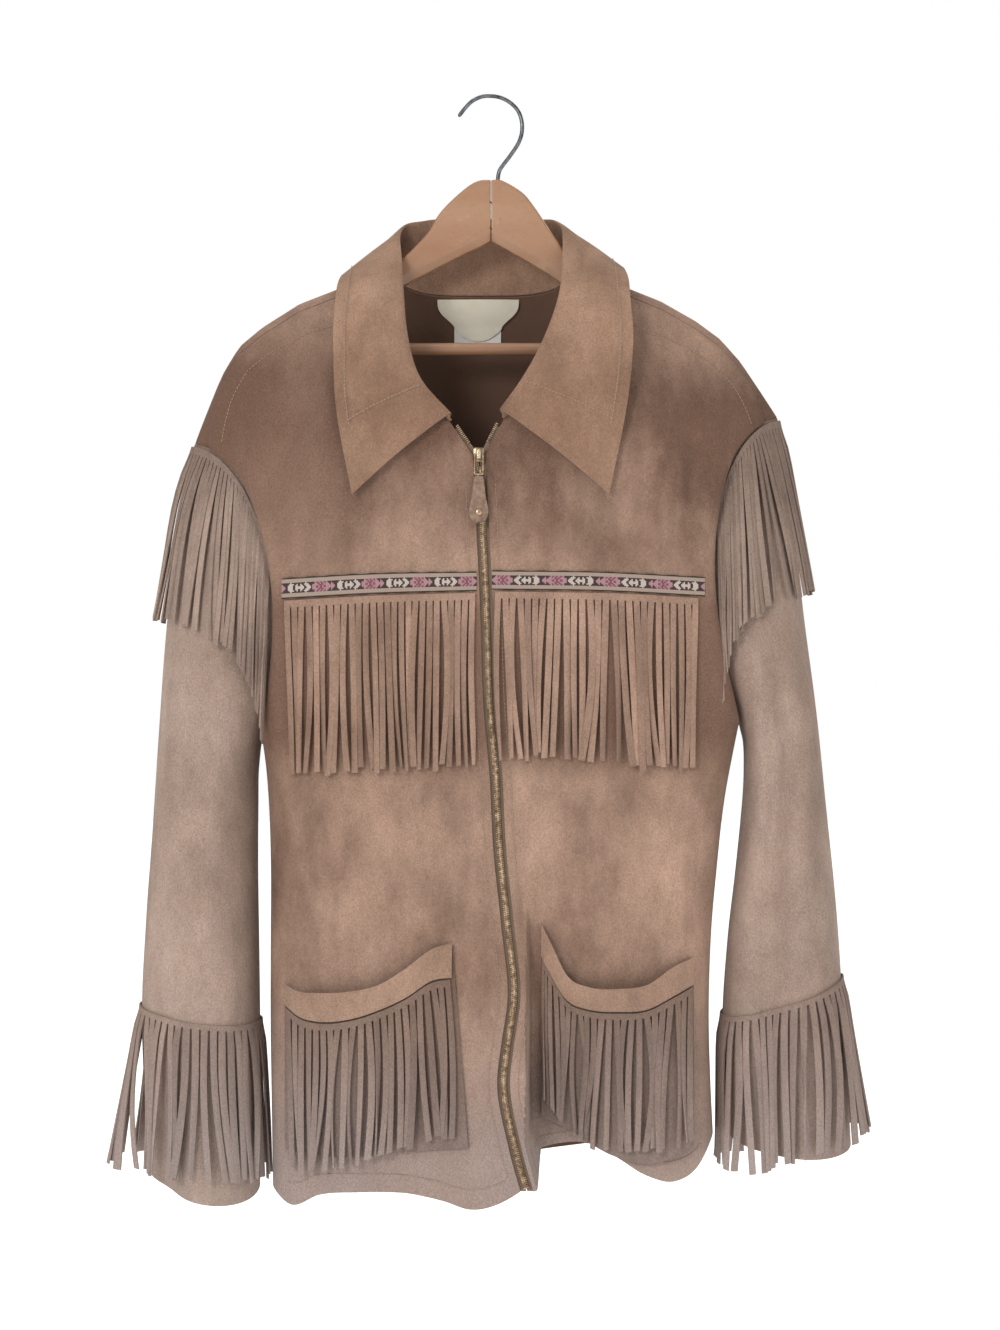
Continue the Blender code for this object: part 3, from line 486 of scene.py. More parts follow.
def sleeve(side, u, t):
    """The sleeve with its creases, fading out at the armhole."""
    p = sleeve_form(side, u, t)
    s = np.sin(2 * np.pi * np.asarray(u, float))
    fade = ease((np.asarray(t, float) - 0.06) / 0.12)
    p[..., 1] += (creases(SLEEVE_CREASES[side], p) + 0.7 * ripple(p)) * np.maximum(s, 0) * fade
    p[..., 1] -= (creases(SLEEVE_BACK_CREASES[side], p) + 0.7 * ripple(p)) * np.maximum(-s, 0) * fade
    return p


def finer(stops, m):
    """The stops with each step between them split into m."""
    n = len(stops) - 1
    return np.interp(np.arange(n * m + 1) / m, np.arange(n + 1), stops)


def suede_nap():
    """Node group of the suede: brushed patches, nap strokes, grain, painted shade under the chest fringe and
    beside the left armhole, and painted cool, grey shade on the lower part.
    """
    tree = bpy.data.node_groups.new("suede_nap", "ShaderNodeTree")
    for name, kind, value in (
            ("Light", "NodeSocketColor", (*SUEDE, 1)), ("Dark", "NodeSocketColor", (*SUEDE_DARK, 1)),
            ("Patches", "NodeSocketFloat", 0.5), ("Cool", "NodeSocketFloat", 0.5),
            ("Tone", "NodeSocketFloat", 0.0), ("Shelter", "NodeSocketFloat", 0.0)):
        tree.interface.new_socket(name, in_out="INPUT", socket_type=kind).default_value = value
    tree.interface.new_socket("Color", in_out="OUTPUT", socket_type="NodeSocketColor")
    tree.interface.new_socket("Height", in_out="OUTPUT", socket_type="NodeSocketFloat")
    g = Paint.__new__(Paint)
    g.tree = tree
    given = tree.nodes.new("NodeGroupInput").outputs
    out = tree.nodes.new("NodeGroupOutput").inputs
    x, y, z = g.node("ShaderNodeSeparateXYZ", Vector=g.place()).outputs
    clouds = g.noise(8.0, 4.0, (1, 1, 0.8), 0.55)
    strokes = g.noise(34.0, 5.0, (1, 1, 0.45), 0.62)
    grain = g.noise(900.0, 3.0, (1, 1, 0.7), 0.7)
    chest = g.times(g.span(z, -0.40, -0.26), g.span(z, -0.16, -0.24))
    zip_side = g.span(g.node("ShaderNodeMath", operation="ABSOLUTE", _0=x).outputs[0], 0.09, 0.0)
    worn = g.plus(strokes, 0.75, g.plus(zip_side, 0.05, g.plus(chest, 0.30, clouds)))
    patch = g.times(g.span(worn, 0.64, 1.24), given["Patches"])
    colour = g.mix(patch, given["Light"], given["Dark"])
    rub = g.noise(21.0, 8.0, (1, 1, 0.55), 0.72)
    colour = g.shaded(colour, g.span(rub, 0.36, 0.62, 0.80, 1.10))
    # Painted shade under the chest fringe, on the front only.
    fringe_shade = g.times(g.times(g.span(z, -0.385, -0.41), g.span(z, -0.545, -0.51)), given["Shelter"])
    colour = g.mix(g.times(fringe_shade, g.span(y, -0.01, -0.045)), colour, given["Dark"])
    # Painted shade in the hollow beside the left armhole.
    armhole_shade = g.times(g.times(g.span(x, -0.085, -0.125), g.span(z, -0.43, -0.33)), g.span(z, -0.17, -0.23))
    colour = g.mix(g.times(g.times(armhole_shade, given["Shelter"]), 0.85), colour, given["Dark"])
    # Painted cool shade on the lower part: cooler and greyer towards the bottom.
    edge = g.times(g.times(g.span(z, -0.70, -0.84), given["Cool"]), g.span(clouds, 0.3, 0.6, 0.5, 1.0))
    colour = g.mix(edge, colour, SUEDE_SHADE_GREY)
    colour = g.shaded(colour, g.span(grain, 0.35, 0.65, 0.80, 1.17))
    colour = g.shaded(colour, g.span(given["Tone"], -1.0, 1.0, 0.80, 1.20))
    tree.links.new(colour, out["Color"])
    tree.links.new(g.plus(strokes, 0.6, grain), out["Height"])
    return tree


NAP = suede_nap()


def suede(name, light=SUEDE, dark=SUEDE_DARK, patches=0.5, cool=0.5, strands=False, lined=False,
          shelter=0.0):
    """Napped suede. Strands take their own tone from the mesh, and the flesh side is dark. Two weights set
    painted shade: the cool, grey shade on the lower part, and the shade under the chest fringe and beside
    the left armhole.
    """
    hide = Paint(name, Roughness=0.95, Specular_IOR_Level=0.12, Sheen_Weight=0.09, Sheen_Roughness=0.4,
                 Sheen_Tint=(1.0, 0.88, 0.78, 1))
    nap = hide.node("ShaderNodeGroup", node_tree=NAP, Light=(*light, 1), Dark=(*dark, 1), Patches=patches,
                    Cool=cool, Shelter=shelter)
    if strands:
        tone = hide.node("ShaderNodeAttribute", attribute_name="tone")
        hide.tree.links.new(tone.outputs["Fac"], nap.inputs["Tone"])
    colour = nap.outputs["Color"]
    if lined:
        inside = hide.node("ShaderNodeAttribute", attribute_name="inside")
        colour = hide.mix(inside.outputs["Fac"], colour, INSIDE)
    hide.relief(nap.outputs["Height"], 0.0006, 0.55)
    return hide.colour(colour)


def walled(bm, mm):
    """Walls with the flesh side marked, so that it can be darker."""
    mark = bm.verts.layers.float.new("inside")
    outer = set(bm.verts)
    bmesh.ops.solidify(bm, geom=bm.faces[:], thickness=mm * 0.001)
    for v in bm.verts:
        v[mark] = 0.0 if v in outer else 1.0
    return bm


sleeve_suede = suede("sleeve_suede", (0.37, 0.275, 0.225), (0.19, 0.125, 0.092), 0.75, 0.35, lined=True)
SLEEVE_T = [0, 0.04, 0.09, 0.15, 0.22, 0.3, 0.4, 0.5, 0.6, 0.7, 0.8, 0.87, 0.94, 1]
for side, tag in SIDES:
    bm = grid(partial(sleeve, side), np.linspace(-0.5, 0.5, 141), finer(SLEEVE_T, 7), wrap=True)
    piece("sleeve_panel_" + tag, walled(bm, WALL * side), sleeve_suede,
                          ["sleeve_" + tag])

# Fronts. Each is one hide from the zip to the side seam and up to the forward shoulder seam.
# The right front is drawn back at its hem, and the chest folds out over the armholes.
NECK = [  # v, x, z, y, round from the left front over the back to the right front
    (0.000, -32, -264, -63), (0.054, -52, -244, -57), (0.136, -70, -208, -44), (0.221, -80, -169, -26),
    (0.277, -85, -143, -13), (0.306, -86, -136, 0), (0.333, -83, -138, 14), (0.378, -70, -148, 29),
    (0.500, -7, -155, 34), (0.622, 56, -148, 29), (0.667, 69, -138, 14), (0.694, 72, -136, 0),
    (0.723, 71, -143, -13), (0.779, 66, -169, -26), (0.864, 56, -208, -44), (0.946, 32, -244, -57),
    (1.000, 10, -262, -63)]
RIDGE = {
    -1: [(86, -136), (122, -153), (153, -165), (183, -184), (201, -199), (215, -222), (226, -248),
         (237, -276)],
    1: [(72, -136), (106, -151), (136, -163), (164, -179), (183, -193), (199, -211), (214, -233),
        (229, -255)],
}
ZIP = [  # t, x, z, y from the hem to the slider
    (0.00, 28, -861, -80), (0.06, 19, -828, -80), (0.12, 10, -781, -80), (0.17, 13, -748, -79),
    (0.22, 18, -713, -78), (0.30, 13, -655, -76), (0.40, 7, -597, -74), (0.50, 4, -539, -71),
    (0.60, -1, -481, -68), (0.70, -3, -419, -66), (0.80, -6, -352, -65), (0.86, -9, -290, -64)]
SIDE = {
    -1: [(0, -173, -864), (0.1, -174, -800), (0.2, -175, -736), (0.3, -175, -668), (0.4, -175, -612),
         (0.5, -177, -556), (0.57, -180, -524), (0.6, -182, -511)],
    1: [(0, 176, -822), (0.1, 174, -778), (0.2, 173, -726), (0.3, 175, -666), (0.4, 180, -610),
        (0.5, 186, -558), (0.57, 193, -520), (0.6, 197, -500)],
}
FOLD_OUT = [(0, 0), (0.6, 0), (0.8, 3), (0.9, 6), (0.96, 3), (1, 0)]
HEM = {  # s, lift, how far it stands back
    -1: [(0, 0, 0), (0.05, -6, 0), (0.2, -14, 4), (0.3, -9, 12), (0.45, -3, 14), (0.65, -1, 8),
         (0.8, -4, 10), (0.92, -12, 4), (1, 0, 0)],
    1: [(0, 24, 50), (0.14, 24, 50), (0.3, 18, 50), (0.45, 4, 34), (0.62, -16, 20), (0.78, -26, 10),
        (0.9, -20, 4), (1, 0, 0)],
}
FRONT_CREASES = {
    -1: [(-152, -570, -156, -690, 11, 2.2), (-62, -556, -44, -650, 13, 1.7),
         (-118, -560, -104, -640, 15, -1.6), (-96, -300, -112, -372, 12, 1.4),
         (-152, -215, -168, -360, 13, 3.0), (-128, -230, -136, -330, 11, -1.5),
         (-22, -300, -30, -372, 9, 1.3), (-20, -700, -8, -800, 10, 1.9), (-60, -845, -66, -868, 8, 1.6)],
    1: [(30, -575, 27, -690, 9, 2.6), (56, -560, 70, -640, 13, -1.7), (126, -560, 132, -650, 13, 2.0),
        (148, -225, 162, -360, 13, 2.8), (120, -235, 128, -340, 12, -1.6), (20, -300, 34, -372, 10, 1.5),
        (72, -300, 60, -368, 12, 1.2), (152, -580, 150, -668, 8, -1.6)],
}


def armhole(side, u, gap):
    """Armhole edge of the body panels, a little inside the sleeve's first ring."""
    p = sleeve_form(side, u, 0.0)
    d = sleeve_form(side, u, 0.06) - p
    d /= np.linalg.norm(d, axis=-1, keepdims=True)
    k = ease((0.46 - np.abs(u)) / 0.12)[..., None]
    w = np.array([-side * 1.0, 0, 0]) * (1 - 0.5 * k) - d * k
    return p + gap * w / np.linalg.norm(w, axis=-1, keepdims=True)


def inner_edge(side, t):
    """Zip edge, then the neckline, of a front."""
    x, z, y = columns(ZIP, t)
    x = x + side * 5
    v = np.clip((t - 0.885) / 0.115, 0, 1) * 0.277
    n = columns(NECK, v if side < 0 else 1 - v)
    k = np.clip((t - 0.86) / 0.025, 0, 1)
    return x + (n[0] - x) * k, z + (n[1] - z) * k, y + (n[2] - y) * k


def ridge(side, x):
    a = np.asarray(RIDGE[side], float)
    return np.interp(x * side, a[:, 0], a[:, 1])


ARM_GAP = 0.5
SEAM_GAP = (0, -0.3, -0.5)
NECK_POINT = {-1: -86.0, 1: 72.0}
SHOULDER = (  # place round the armhole, height and depth from the ridge, place round the neck
    (-0.05, -9, 12, 0.333), (-0.003, 0, 0, 0.306), (0.04, -7.2, -11.4, 0.287))


def over_shoulder(side, k, level):
    """A line over the shoulder from the armhole (k 0) to the neck: behind, on the ridge or in front."""
    u, dz, y, nv = SHOULDER[level]
    tip = armhole(side, 0.0, ARM_GAP)[0]
    hps = NECK_POINT[side]
    x = tip + (hps - tip) * k
    arm = armhole(side, u, ARM_GAP)
    p = arm + (pts(x, ridge(side, x) + dz, y) - arm) * ease(k * 6)[..., None]
    foot = pts(*columns(NECK, nv if side < 0 else 1 - nv))
    return p + ease((k - 0.75) / 0.25)[..., None] * (foot - pts(hps, ridge(side, hps) + dz, y))


def front_base(side, s, t):
    """Front panel before its top edge is fitted to the shoulder seam."""
    xi, zi, yi = inner_edge(side, t)
    xs, zs = columns(SIDE[side], t)
    u = 0.5 - np.clip((t - 0.6) / 0.4, 0, 1) * 0.445
    arm = armhole(side, u, ARM_GAP)
    up = (t > 0.6)
    xo = np.where(up, arm[..., 0], xs)
    zo = np.where(up, arm[..., 2], zs)
    yo = np.where(up, arm[..., 1], -0.5)
    c = (1 - s ** 2.667) ** 0.225
    out = s ** 8 * np.sqrt(np.clip(1 - s * s, 0, 1)) / 0.207
    x = xi + (xo - xi) * s + side * out * columns(FOLD_OUT, t)[0]
    z = zi + (zo - zi) * s
    y = yo + (yi - yo) * c
    lift, back = columns(HEM[side], s)
    w = np.clip(1 - t / 0.36, 0, 1)
    if side > 0:
        crease = np.maximum(0.02, (27 - xi) / (xo - xi))
        lift = lift * ease((s - crease) / 0.03)
        back = back * ease((s - crease) / 0.03)
    return pts(x, z + lift * w ** 3, y + back * ease(w * 1.25))


def front_form(side, s, t):
    """Front panel: s from the zip to the side, t from the hem to the shoulder seam."""
    s, t = np.broadcast_arrays(np.asarray(s, float), np.asarray(t, float))
    seam = over_shoulder(side, 1 - s, 2) + np.array(SEAM_GAP)
    rise = (seam - front_base(side, s, np.ones(s.shape))) * ease(s / 0.08)[..., None]
    start = 0.72 + 0.22 * ease((s - 0.6) / 0.38)
    return front_base(side, s, t) + rise * ease((t - start) / (1 - start))[..., None]


def settle(side, p, s, t):
    """A front's creases, fading towards its seams."""
    fade = ease(np.asarray(s) / 0.05) * ease((1 - np.asarray(s)) / 0.08) * ease((1 - np.asarray(t)) / 0.08)
    p[..., 1] += (1.5 * creases(FRONT_CREASES[side], p) + 0.9 * ripple(p)) * fade
    return p


def front(side, s, t):
    return settle(side, front_form(side, s, t), s, t)


def normals(surface, s, t):
    """A surface's unit normals, turned towards the viewer."""
    e = 0.004
    a = surface(np.minimum(s + e, 1), t) - surface(np.maximum(s - e, 0), t)
    b = surface(s, np.minimum(t + e, 1)) - surface(s, np.maximum(t - e, 0))
    n = np.cross(a, b)
    n /= np.linalg.norm(n, axis=-1, keepdims=True) + 1e-9
    return n * np.where(n[..., 1:2] > 0, -1, 1)


def out_of(surface, s, t, lift):
    """Points of a surface moved out along its normal, mostly towards the viewer."""
    n = normals(surface, s, t)
    n[..., 0] *= 0.4
    return surface(s, t) + n * np.asarray(lift, float)[..., None]


def on_front(side, x, z, lift):
    """The place on a front that shows at x and z, moved out by lift."""
    x, z, lift = np.broadcast_arrays(*(np.asarray(a, float) for a in (x, z, lift)))
    s = np.full(x.shape, 0.5)
    t = np.clip((z + 870) / 600, 0.02, 0.84)
    for _ in range(14):
        p = front_form(side, s, t)
        ps = (front_form(side, s + 0.01, t) - p) / 0.01
        pt = (front_form(side, s, t + 0.01) - p) / 0.01
        dx = x - p[..., 0]
        dz = z - p[..., 2]
        det = ps[..., 0] * pt[..., 2] - ps[..., 2] * pt[..., 0]
        s = np.clip(s + 0.8 * (dx * pt[..., 2] - dz * pt[..., 0]) / det, 0.0, 0.945)
        t = np.clip(t + 0.8 * (dz * ps[..., 0] - dx * ps[..., 2]) / det, 0.0, 0.85)
    return settle(side, out_of(partial(front_form, side), s, t, lift), s, t)


# The body's suede takes painted shade under the chest fringe, beside the left armhole and on the lower part.
body_suede = suede("body_suede", patches=1.0, cool=0.75, lined=True, shelter=0.8)
FRONT_S = [0, 0.02, 0.05, 0.08, 0.11, 0.16, 0.24, 0.36, 0.48, 0.62, 0.74, 0.84, 0.91, 0.96, 0.988, 1]
FRONT_T = [0, 0.07, 0.15, 0.23, 0.31, 0.4, 0.5, 0.6, 0.645, 0.69, 0.735, 0.78, 0.825, 0.86, 0.885, 0.9,
           0.915, 0.935, 0.96, 0.98, 1]
for side, tag in SIDES:
    bm = grid(partial(front, side), finer(FRONT_S, 7), finer(FRONT_T, 8))
    piece("front_panel_" + tag, walled(bm, WALL * side), body_suede,
                         ["front_" + tag])

# Back. One hide, wrapped over the shoulders to the forward seam and cut out for the neck.
NECK_S = (0.323, 0.664)
BACK_CREASES = [(-120, -330, -60, -400, 14, -1.8), (110, -320, 50, -410, 14, -1.8),
                (-20, -480, -30, -640, 16, 1.8), (60, -560, 72, -700, 14, -1.6),
                (-110, -600, -100, -740, 14, 1.8), (126, -640, 120, -780, 12, 1.6),
                (-60, -800, -66, -866, 11, -2.0), (30, -790, 36, -866, 12, 2.0),
                (0, -230, 20, -330, 14, 1.4)]


def back_base(s, t):
    """Back below the shoulders, from side seam or armhole to the other."""
    ends = []
    for side in (-1, 1):
        xs, zs = columns(SIDE[side], t)
        arm = armhole(side, -0.5 + np.clip((t - 0.6) / 0.3, 0, 1) * 0.45, ARM_GAP)
        up = (t > 0.6)
        ends.append(np.where(up, [arm[..., 0], arm[..., 2], arm[..., 1]], [xs, zs, np.full(up.shape, 0.5)]))
    x, z, edge = ends[0] + (ends[1] - ends[0]) * s
    bow = np.sqrt(np.clip(1 - np.abs(2 * s - 1) ** 4, 0, 1))
    deep = 50 - 6 * ease((t - 0.5) / 0.25) - 27 * ease((t - 0.81) / 0.11)
    y = edge + (deep - edge) * bow
    return pts(x, z - 10 * bow * np.clip(1 - t / 0.3, 0, 1), y)


def back(s, t):
    """The whole back: the base, and above t 0.9 the cap over the shoulders."""
    s, t = np.broadcast_arrays(np.asarray(s, float), np.asarray(t, float))
    s1, s2 = NECK_S
    v = 0.333 + np.clip((s - s1) / (s2 - s1), 0, 1) * 0.334
    low = pts(*columns(NECK, v))
    mid = low + np.array([0, 0, 6.0])
    top = low + np.array([0, 0, 12.0])
    for side, k in ((-1, s / s1), (1, (1 - s) / (1 - s2))):
        k = np.clip(k, 0, 1)
        here = ((s <= s1) if side < 0 else (s >= s2))[..., None]
        low = np.where(here, over_shoulder(side, k, 0), low)
        mid = np.where(here, over_shoulder(side, k, 1), mid)
        top = np.where(here, over_shoulder(side, k, 2), top)
    f = np.clip((t - 0.9) / 0.1, 0, 1)[..., None]
    cap = low * (1 - f) * (1 - 2 * f) + mid * 4 * f * (1 - f) + top * f * (2 * f - 1)
    w = ease((t - 0.68) / 0.22)[..., None]
    below = back_base(s, t) + w * (low - back_base(s, np.full(s.shape, 0.9)))
    p = np.where((t >= 0.9)[..., None], cap, below)
    fade = ease(s / 0.08) * ease((1 - s) / 0.08) * ease((0.86 - t) / 0.1)
    p[..., 1] -= (creases(BACK_CREASES, p) + 0.7 * ripple(p)) * fade
    return p


BACK_S = [0, 0.008, 0.03, 0.07, 0.13, 0.2, 0.27, 0.323, 0.369, 0.431, 0.4935,
          0.556, 0.618, 0.664, 0.72, 0.79, 0.86, 0.92, 0.965, 0.991, 1]
BACK_T = [0, 0.12, 0.25, 0.38, 0.5, 0.6, 0.6333, 0.6667, 0.7, 0.7333, 0.7667, 0.8, 0.8333, 0.8667, 0.9,
          0.925, 0.95, 0.975, 1]
NECK_ROW = 14
NECK_COLS = (7, 13)
SPLIT = 6
bm = grid(back, finer(BACK_S, SPLIT), finer(BACK_T, SPLIT))
bm.faces.ensure_lookup_table()
across = (len(BACK_S) - 1) * SPLIT
first = NECK_COLS[0] * SPLIT
last = NECK_COLS[1] * SPLIT
gone = [f for i, f in enumerate(bm.faces)
        if i // across >= NECK_ROW * SPLIT and first <= i % across < last]
bmesh.ops.delete(bm, geom=gone, context="FACES")
back_panel = piece("back_panel", walled(bm, -WALL), body_suede, ["back"])

# Collar. Stand and leaf cut in one, turned down at the roll, with long pointed leaves. The
# right end of the roll is pinched to a small curl beside the hanger.
COLLAR = [  # v, x roll, z roll, y roll, x edge, z edge, y edge
    (0.000, -33, -259, -69, -108, -321, -70), (0.054, -54, -234, -65, -119, -264, -67),
    (0.136, -65, -200, -57, -123, -208, -58), (0.221, -69, -160, -42, -123, -174, -41),
    (0.277, -71, -130, -18, -121, -148, -16), (0.306, -73, -110, 6, -118, -139, 12),
    (0.333, -70, -99, 26, -108, -137, 36), (0.378, -54, -93, 39, -83, -146, 60),
    (0.500, -7, -91, 43, -7, -158, 68), (0.622, 37, -92, 39, 68, -146, 60),
    (0.667, 52, -95, 26, 92, -135, 36), (0.694, 57, -104, 6, 104, -133, 12),
    (0.723, 57, -128, -18, 108, -142, -16), (0.779, 55, -156, -42, 110, -168, -41),
    (0.864, 43, -195, -57, 111, -206, -58), (0.946, 25, -231, -65, 104, -263, -67),
    (1.000, 9, -256, -69, 92, -321, -70)]
ROLL_W = 0.36
NECK_MIDDLE = -7
COLLAR_CREASES = [(-112, -200, -112, -270, 8, 1.0), (-86, -190, -96, -250, 14, -1.5),
                  (66, -118, 62, -146, 5, -3.5), (76, -120, 74, -142, 4, 3.0),
                  (88, -190, 96, -250, 14, -1.5), (70, -215, 62, -262, 12, 1.2)]


def collar(v, w):
    """Collar: v along the neckline, w up the stand to the roll and out to the edge."""
    v, w = np.broadcast_arrays(np.asarray(v, float), np.asarray(w, float))
    n = columns(NECK, v)
    r = curve(COLLAR, v)
    toward = np.sign(NECK_MIDDLE - n[0]) * np.clip(np.abs(n[0] - NECK_MIDDLE) / 30, 0, 1)
    foot = pts(n[0] + toward * 2.1, n[1] + 1.5, n[2] - 0.5)
    roll = pts(r[..., 0], r[..., 1], r[..., 2])
    edge = pts(r[..., 3], r[..., 4], r[..., 5])
    k = ease((w - ROLL_W + 0.2) / 0.4)[..., None]
    a = foot + (roll - foot) * (w / ROLL_W)[..., None]
    b = roll + (edge - roll) * ((w - ROLL_W) / (1 - ROLL_W))[..., None]
    out = np.clip((w - ROLL_W) / (1 - ROLL_W), 0, 1)[..., None]
    sag = 5 * np.sin(np.pi * out) * np.array([0, -0.5, 0.5])
    p = a * (1 - k) + b * k + sag
    leaf = ease((w - 0.42) / 0.2) * (n[2] < 0)
    p[..., 1] += (1.3 * creases(COLLAR_CREASES, p) + 0.8 * ripple(p)) * leaf
    return p


collar_suede = suede("collar_suede", (0.35, 0.220, 0.150), (0.18, 0.100, 0.065), 0.75, 0.0)
COLLAR_V = [0, 0.0361, 0.0723, 0.1204, 0.1807, 0.2288, 0.277, 0.306, 0.333, 0.378, 0.439, 0.5,
            0.561, 0.622, 0.667, 0.694, 0.723, 0.7712, 0.8193, 0.8796, 0.9277, 0.9639, 1]
COLLAR_W = [0, 0.18, 0.3, 0.36, 0.43, 0.55, 0.76, 1]
bm = thicken(grid(collar, finer(COLLAR_V, 8), finer(COLLAR_W, 8)), COLLAR_WALL)
collar_piece = piece("collar_leaf", bm, collar_suede, ["collar"])

# Ribbons. A woven jacquard trim 16 mm wide, sewn across each chest: dark edges, two cream
# bands and a row of arrowheads and crosses, charted for one repeat.
RIBBON = {  # k, x, top, lower edge
    -1: [(0, -11, -381, -396), (0.5, -86, -382, -398), (1, -163, -386, -402)],
    1: [(0, 1, -380, -395), (0.5, 85, -381, -396), (1, 167, -385, -400)],
}
CHART = [  # one repeat of the centre, read across; d dark, c cream, p pink, m mauve
    "dddpmmpmmpmmpdddddddcdddddddddddcddddddd",
    "ddppmpmmpmmppmddddccccddcddcddccccdddddp",
    "dpppppmmmmpppppddccccddccddccddccccdddpp",
    "ppppmmpmmpmmpppdccccddcccccccddccccddppp",
    "ppppmmpmmpmmpppdccccddcccccccddccccddppp",
    "dpppppmmmmpppppddccccddccddccddccccdddpp",
    "ddppmpmmpmmppmddddccccddcddcddccccdddddp",
    "dddpmmpmmpmmpdddddddcdddddddddddcddddddd",
]
YARN = {"d": (0.045, 0.022, 0.026), "c": (0.48, 0.41, 0.35), "p": (0.36, 0.20, 0.21),
        "m": (0.19, 0.065, 0.09), "b": (0.34, 0.26, 0.21), "k": (0.03, 0.02, 0.012)}
RIBBON_ROWS = 32
CHART_ROWS = (8, 24)
REPEAT = 39.5
RIBBON_LONG = 158.0


def yarn_colour(k, w):
    """Yarn that shows at k along the ribbon and w across it."""
    row = int(w * RIBBON_ROWS)
    if row < 2 or row >= RIBBON_ROWS - 2:
        return YARN["k"]
    if row < CHART_ROWS[0] or row >= CHART_ROWS[1]:
        return YARN["b"]
    line = CHART[(row - CHART_ROWS[0]) * len(CHART) // (CHART_ROWS[1] - CHART_ROWS[0])]
    step = int(k * RIBBON_LONG / REPEAT * len(line)) % len(line)
    return YARN[line[step]]


woven = Paint("woven_ribbon", Roughness=0.75, Specular_IOR_Level=0.3, Sheen_Weight=0.1)
yarns = woven.node("ShaderNodeAttribute", attribute_name="yarn").outputs["Color"]
weave = woven.times(woven.wave(330.0, 0.6), woven.wave(420.0, 0.6, "Z"))
woven.relief(weave, 0.0002, 0.7)
ribbon_paint = woven.colour(woven.shaded(yarns, woven.span(weave, 0.0, 0.8, 0.72, 1.12)))
RIBBON_COLS = 316
for side, tag in SIDES:

    def ribbon(k, w):
        x, top, low = columns(RIBBON[side], k)
        edge = 0.25 * np.sin(k * 61) * (np.abs(w - 0.5) > 0.49)
        return on_front(side, x, top + (low - top) * w + edge, 0.45)

    bm = grid(ribbon, np.linspace(0, 1, RIBBON_COLS + 1), np.linspace(0, 1, RIBBON_ROWS + 1))
    ink = bm.loops.layers.float_color.new("yarn")
    for i, face in enumerate(bm.faces):
        k = (i % RIBBON_COLS + 0.5) / RIBBON_COLS
        w = (i // RIBBON_COLS + 0.5) / RIBBON_ROWS
        for loop in face.loops:
            loop[ink] = (*yarn_colour(k, w), 1)
    piece("ribbon_trim_" + tag, thicken(bm, RIBBON_WALL * side), ribbon_paint,
                          ["ribbon_" + tag])

# Chest fringe. Suede strips cut into strands 5 to 6 mm wide below one uncut root, sewn on
# under the ribbon. Strands sway, overlap and roll a little, each in its own way.
CHEST_FRINGE = {  # k, x, root z, tip z
    -1: [(0, -11, -397.5, -532), (0.5, -86, -399.5, -535), (1, -162, -403.5, -542)],
    1: [(0, 2, -396.5, -528), (0.3, 50, -397, -524), (0.6, 100, -398, -531), (1, 163, -401.5, -535)],
}
fringe_suede = suede("fringe_suede", (0.34, 0.222, 0.165), (0.15, 0.086, 0.060), 0.8, 0.9, strands=True)


def fringe(place, k0, k1, n, fill, rows, mm, seed, wild=1.0):
    """Strands below one root: place gives the point at k along it, d down, moved out by lift."""
    rng = np.random.default_rng(seed)
    pitch = (k1 - k0) / (n - 1 + fill)
    sway = rng.normal(0, 1, n)
    sway = 0.55 * sway + 0.45 * np.roll(sway, 1)
    bend = rng.normal(0, 1, n)
    roll = rng.normal(0, 0.45, n)
    puff = rng.uniform(0, 1, n)
    reach = rng.normal(0, 0.012, n)
    wide = rng.uniform(0.86, 1.06, n)
    tone = rng.normal(0, 0.42, n)

    def strand(c, d):
        i = (np.rint(c).astype(int) // 3)
        edge = np.rint(c).astype(int) % 3 - 1
        free = np.clip((d - rows[1]) / (1 - rows[1]), 0, 1)
        half = 0.5 * fill * pitch * (1 + (wide[i] - 1) * ease(free * 5)) * np.cos(roll[i] * free * wild)
        k = k0 + pitch * (i + 0.5 * fill) + edge * half
        k = k + wild * pitch * (0.62 * sway[i] * free ** 1.5 + 0.22 * bend[i] * np.sin(3.2 * free))
        cup = 0.5 * (1 - np.abs(edge)) * ease(free * 6)
        out = wild * (2.6 * puff[i] * free ** 1.2 + 1.6 * edge * np.sin(roll[i] * free)) + cup
        past = 0.02 * (k1 - k0)
        return place(np.clip(k, k0 - past, k1 + past), d * (1 + reach[i] * free), out)

    bm = grid(strand, np.arange(3 * n), rows)
    bm.faces.ensure_lookup_table()
    cols = 3 * n - 1
    mark = bm.verts.layers.float.new("tone")
    bm.verts.ensure_lookup_table()
    for index, v in enumerate(bm.verts):
        v[mark] = tone[(index % (3 * n)) // 3] if index >= 3 * n * 2 else 0.0
    gone = [f for i, f in enumerate(bm.faces) if (i % cols) % 3 == 2 and i // cols > 0]
    bmesh.ops.delete(bm, geom=gone, context="FACES")
    return thicken(bm, mm)


FRINGE_ROWS = [0, 0.04, 0.08, 0.16, 0.26, 0.36, 0.47, 0.58, 0.69, 0.8, 0.9, 1]
POCKET_ROWS = [0, 0.045, 0.09, 0.18, 0.3, 0.42, 0.54, 0.66, 0.78, 0.9, 1]
for side, tag in SIDES:

    def chest(k, d, lift):
        x, root, tip = columns(CHEST_FRINGE[side], k)
        x = x + side * 2.5 * np.sin(9 * k + 1) * d * d
        return on_front(side, x, root + (tip - root) * d, 0.5 + 3.0 * d + lift)

    bm = fringe(chest, 0.008, 0.992, 27, 0.78, FRINGE_ROWS, STRAND_WALL * side, 11 + side, 1.35)
    piece("chest_fringe_strands_" + tag, bm, fringe_suede,
                                ["chest_fringe_" + tag], sharp=60)

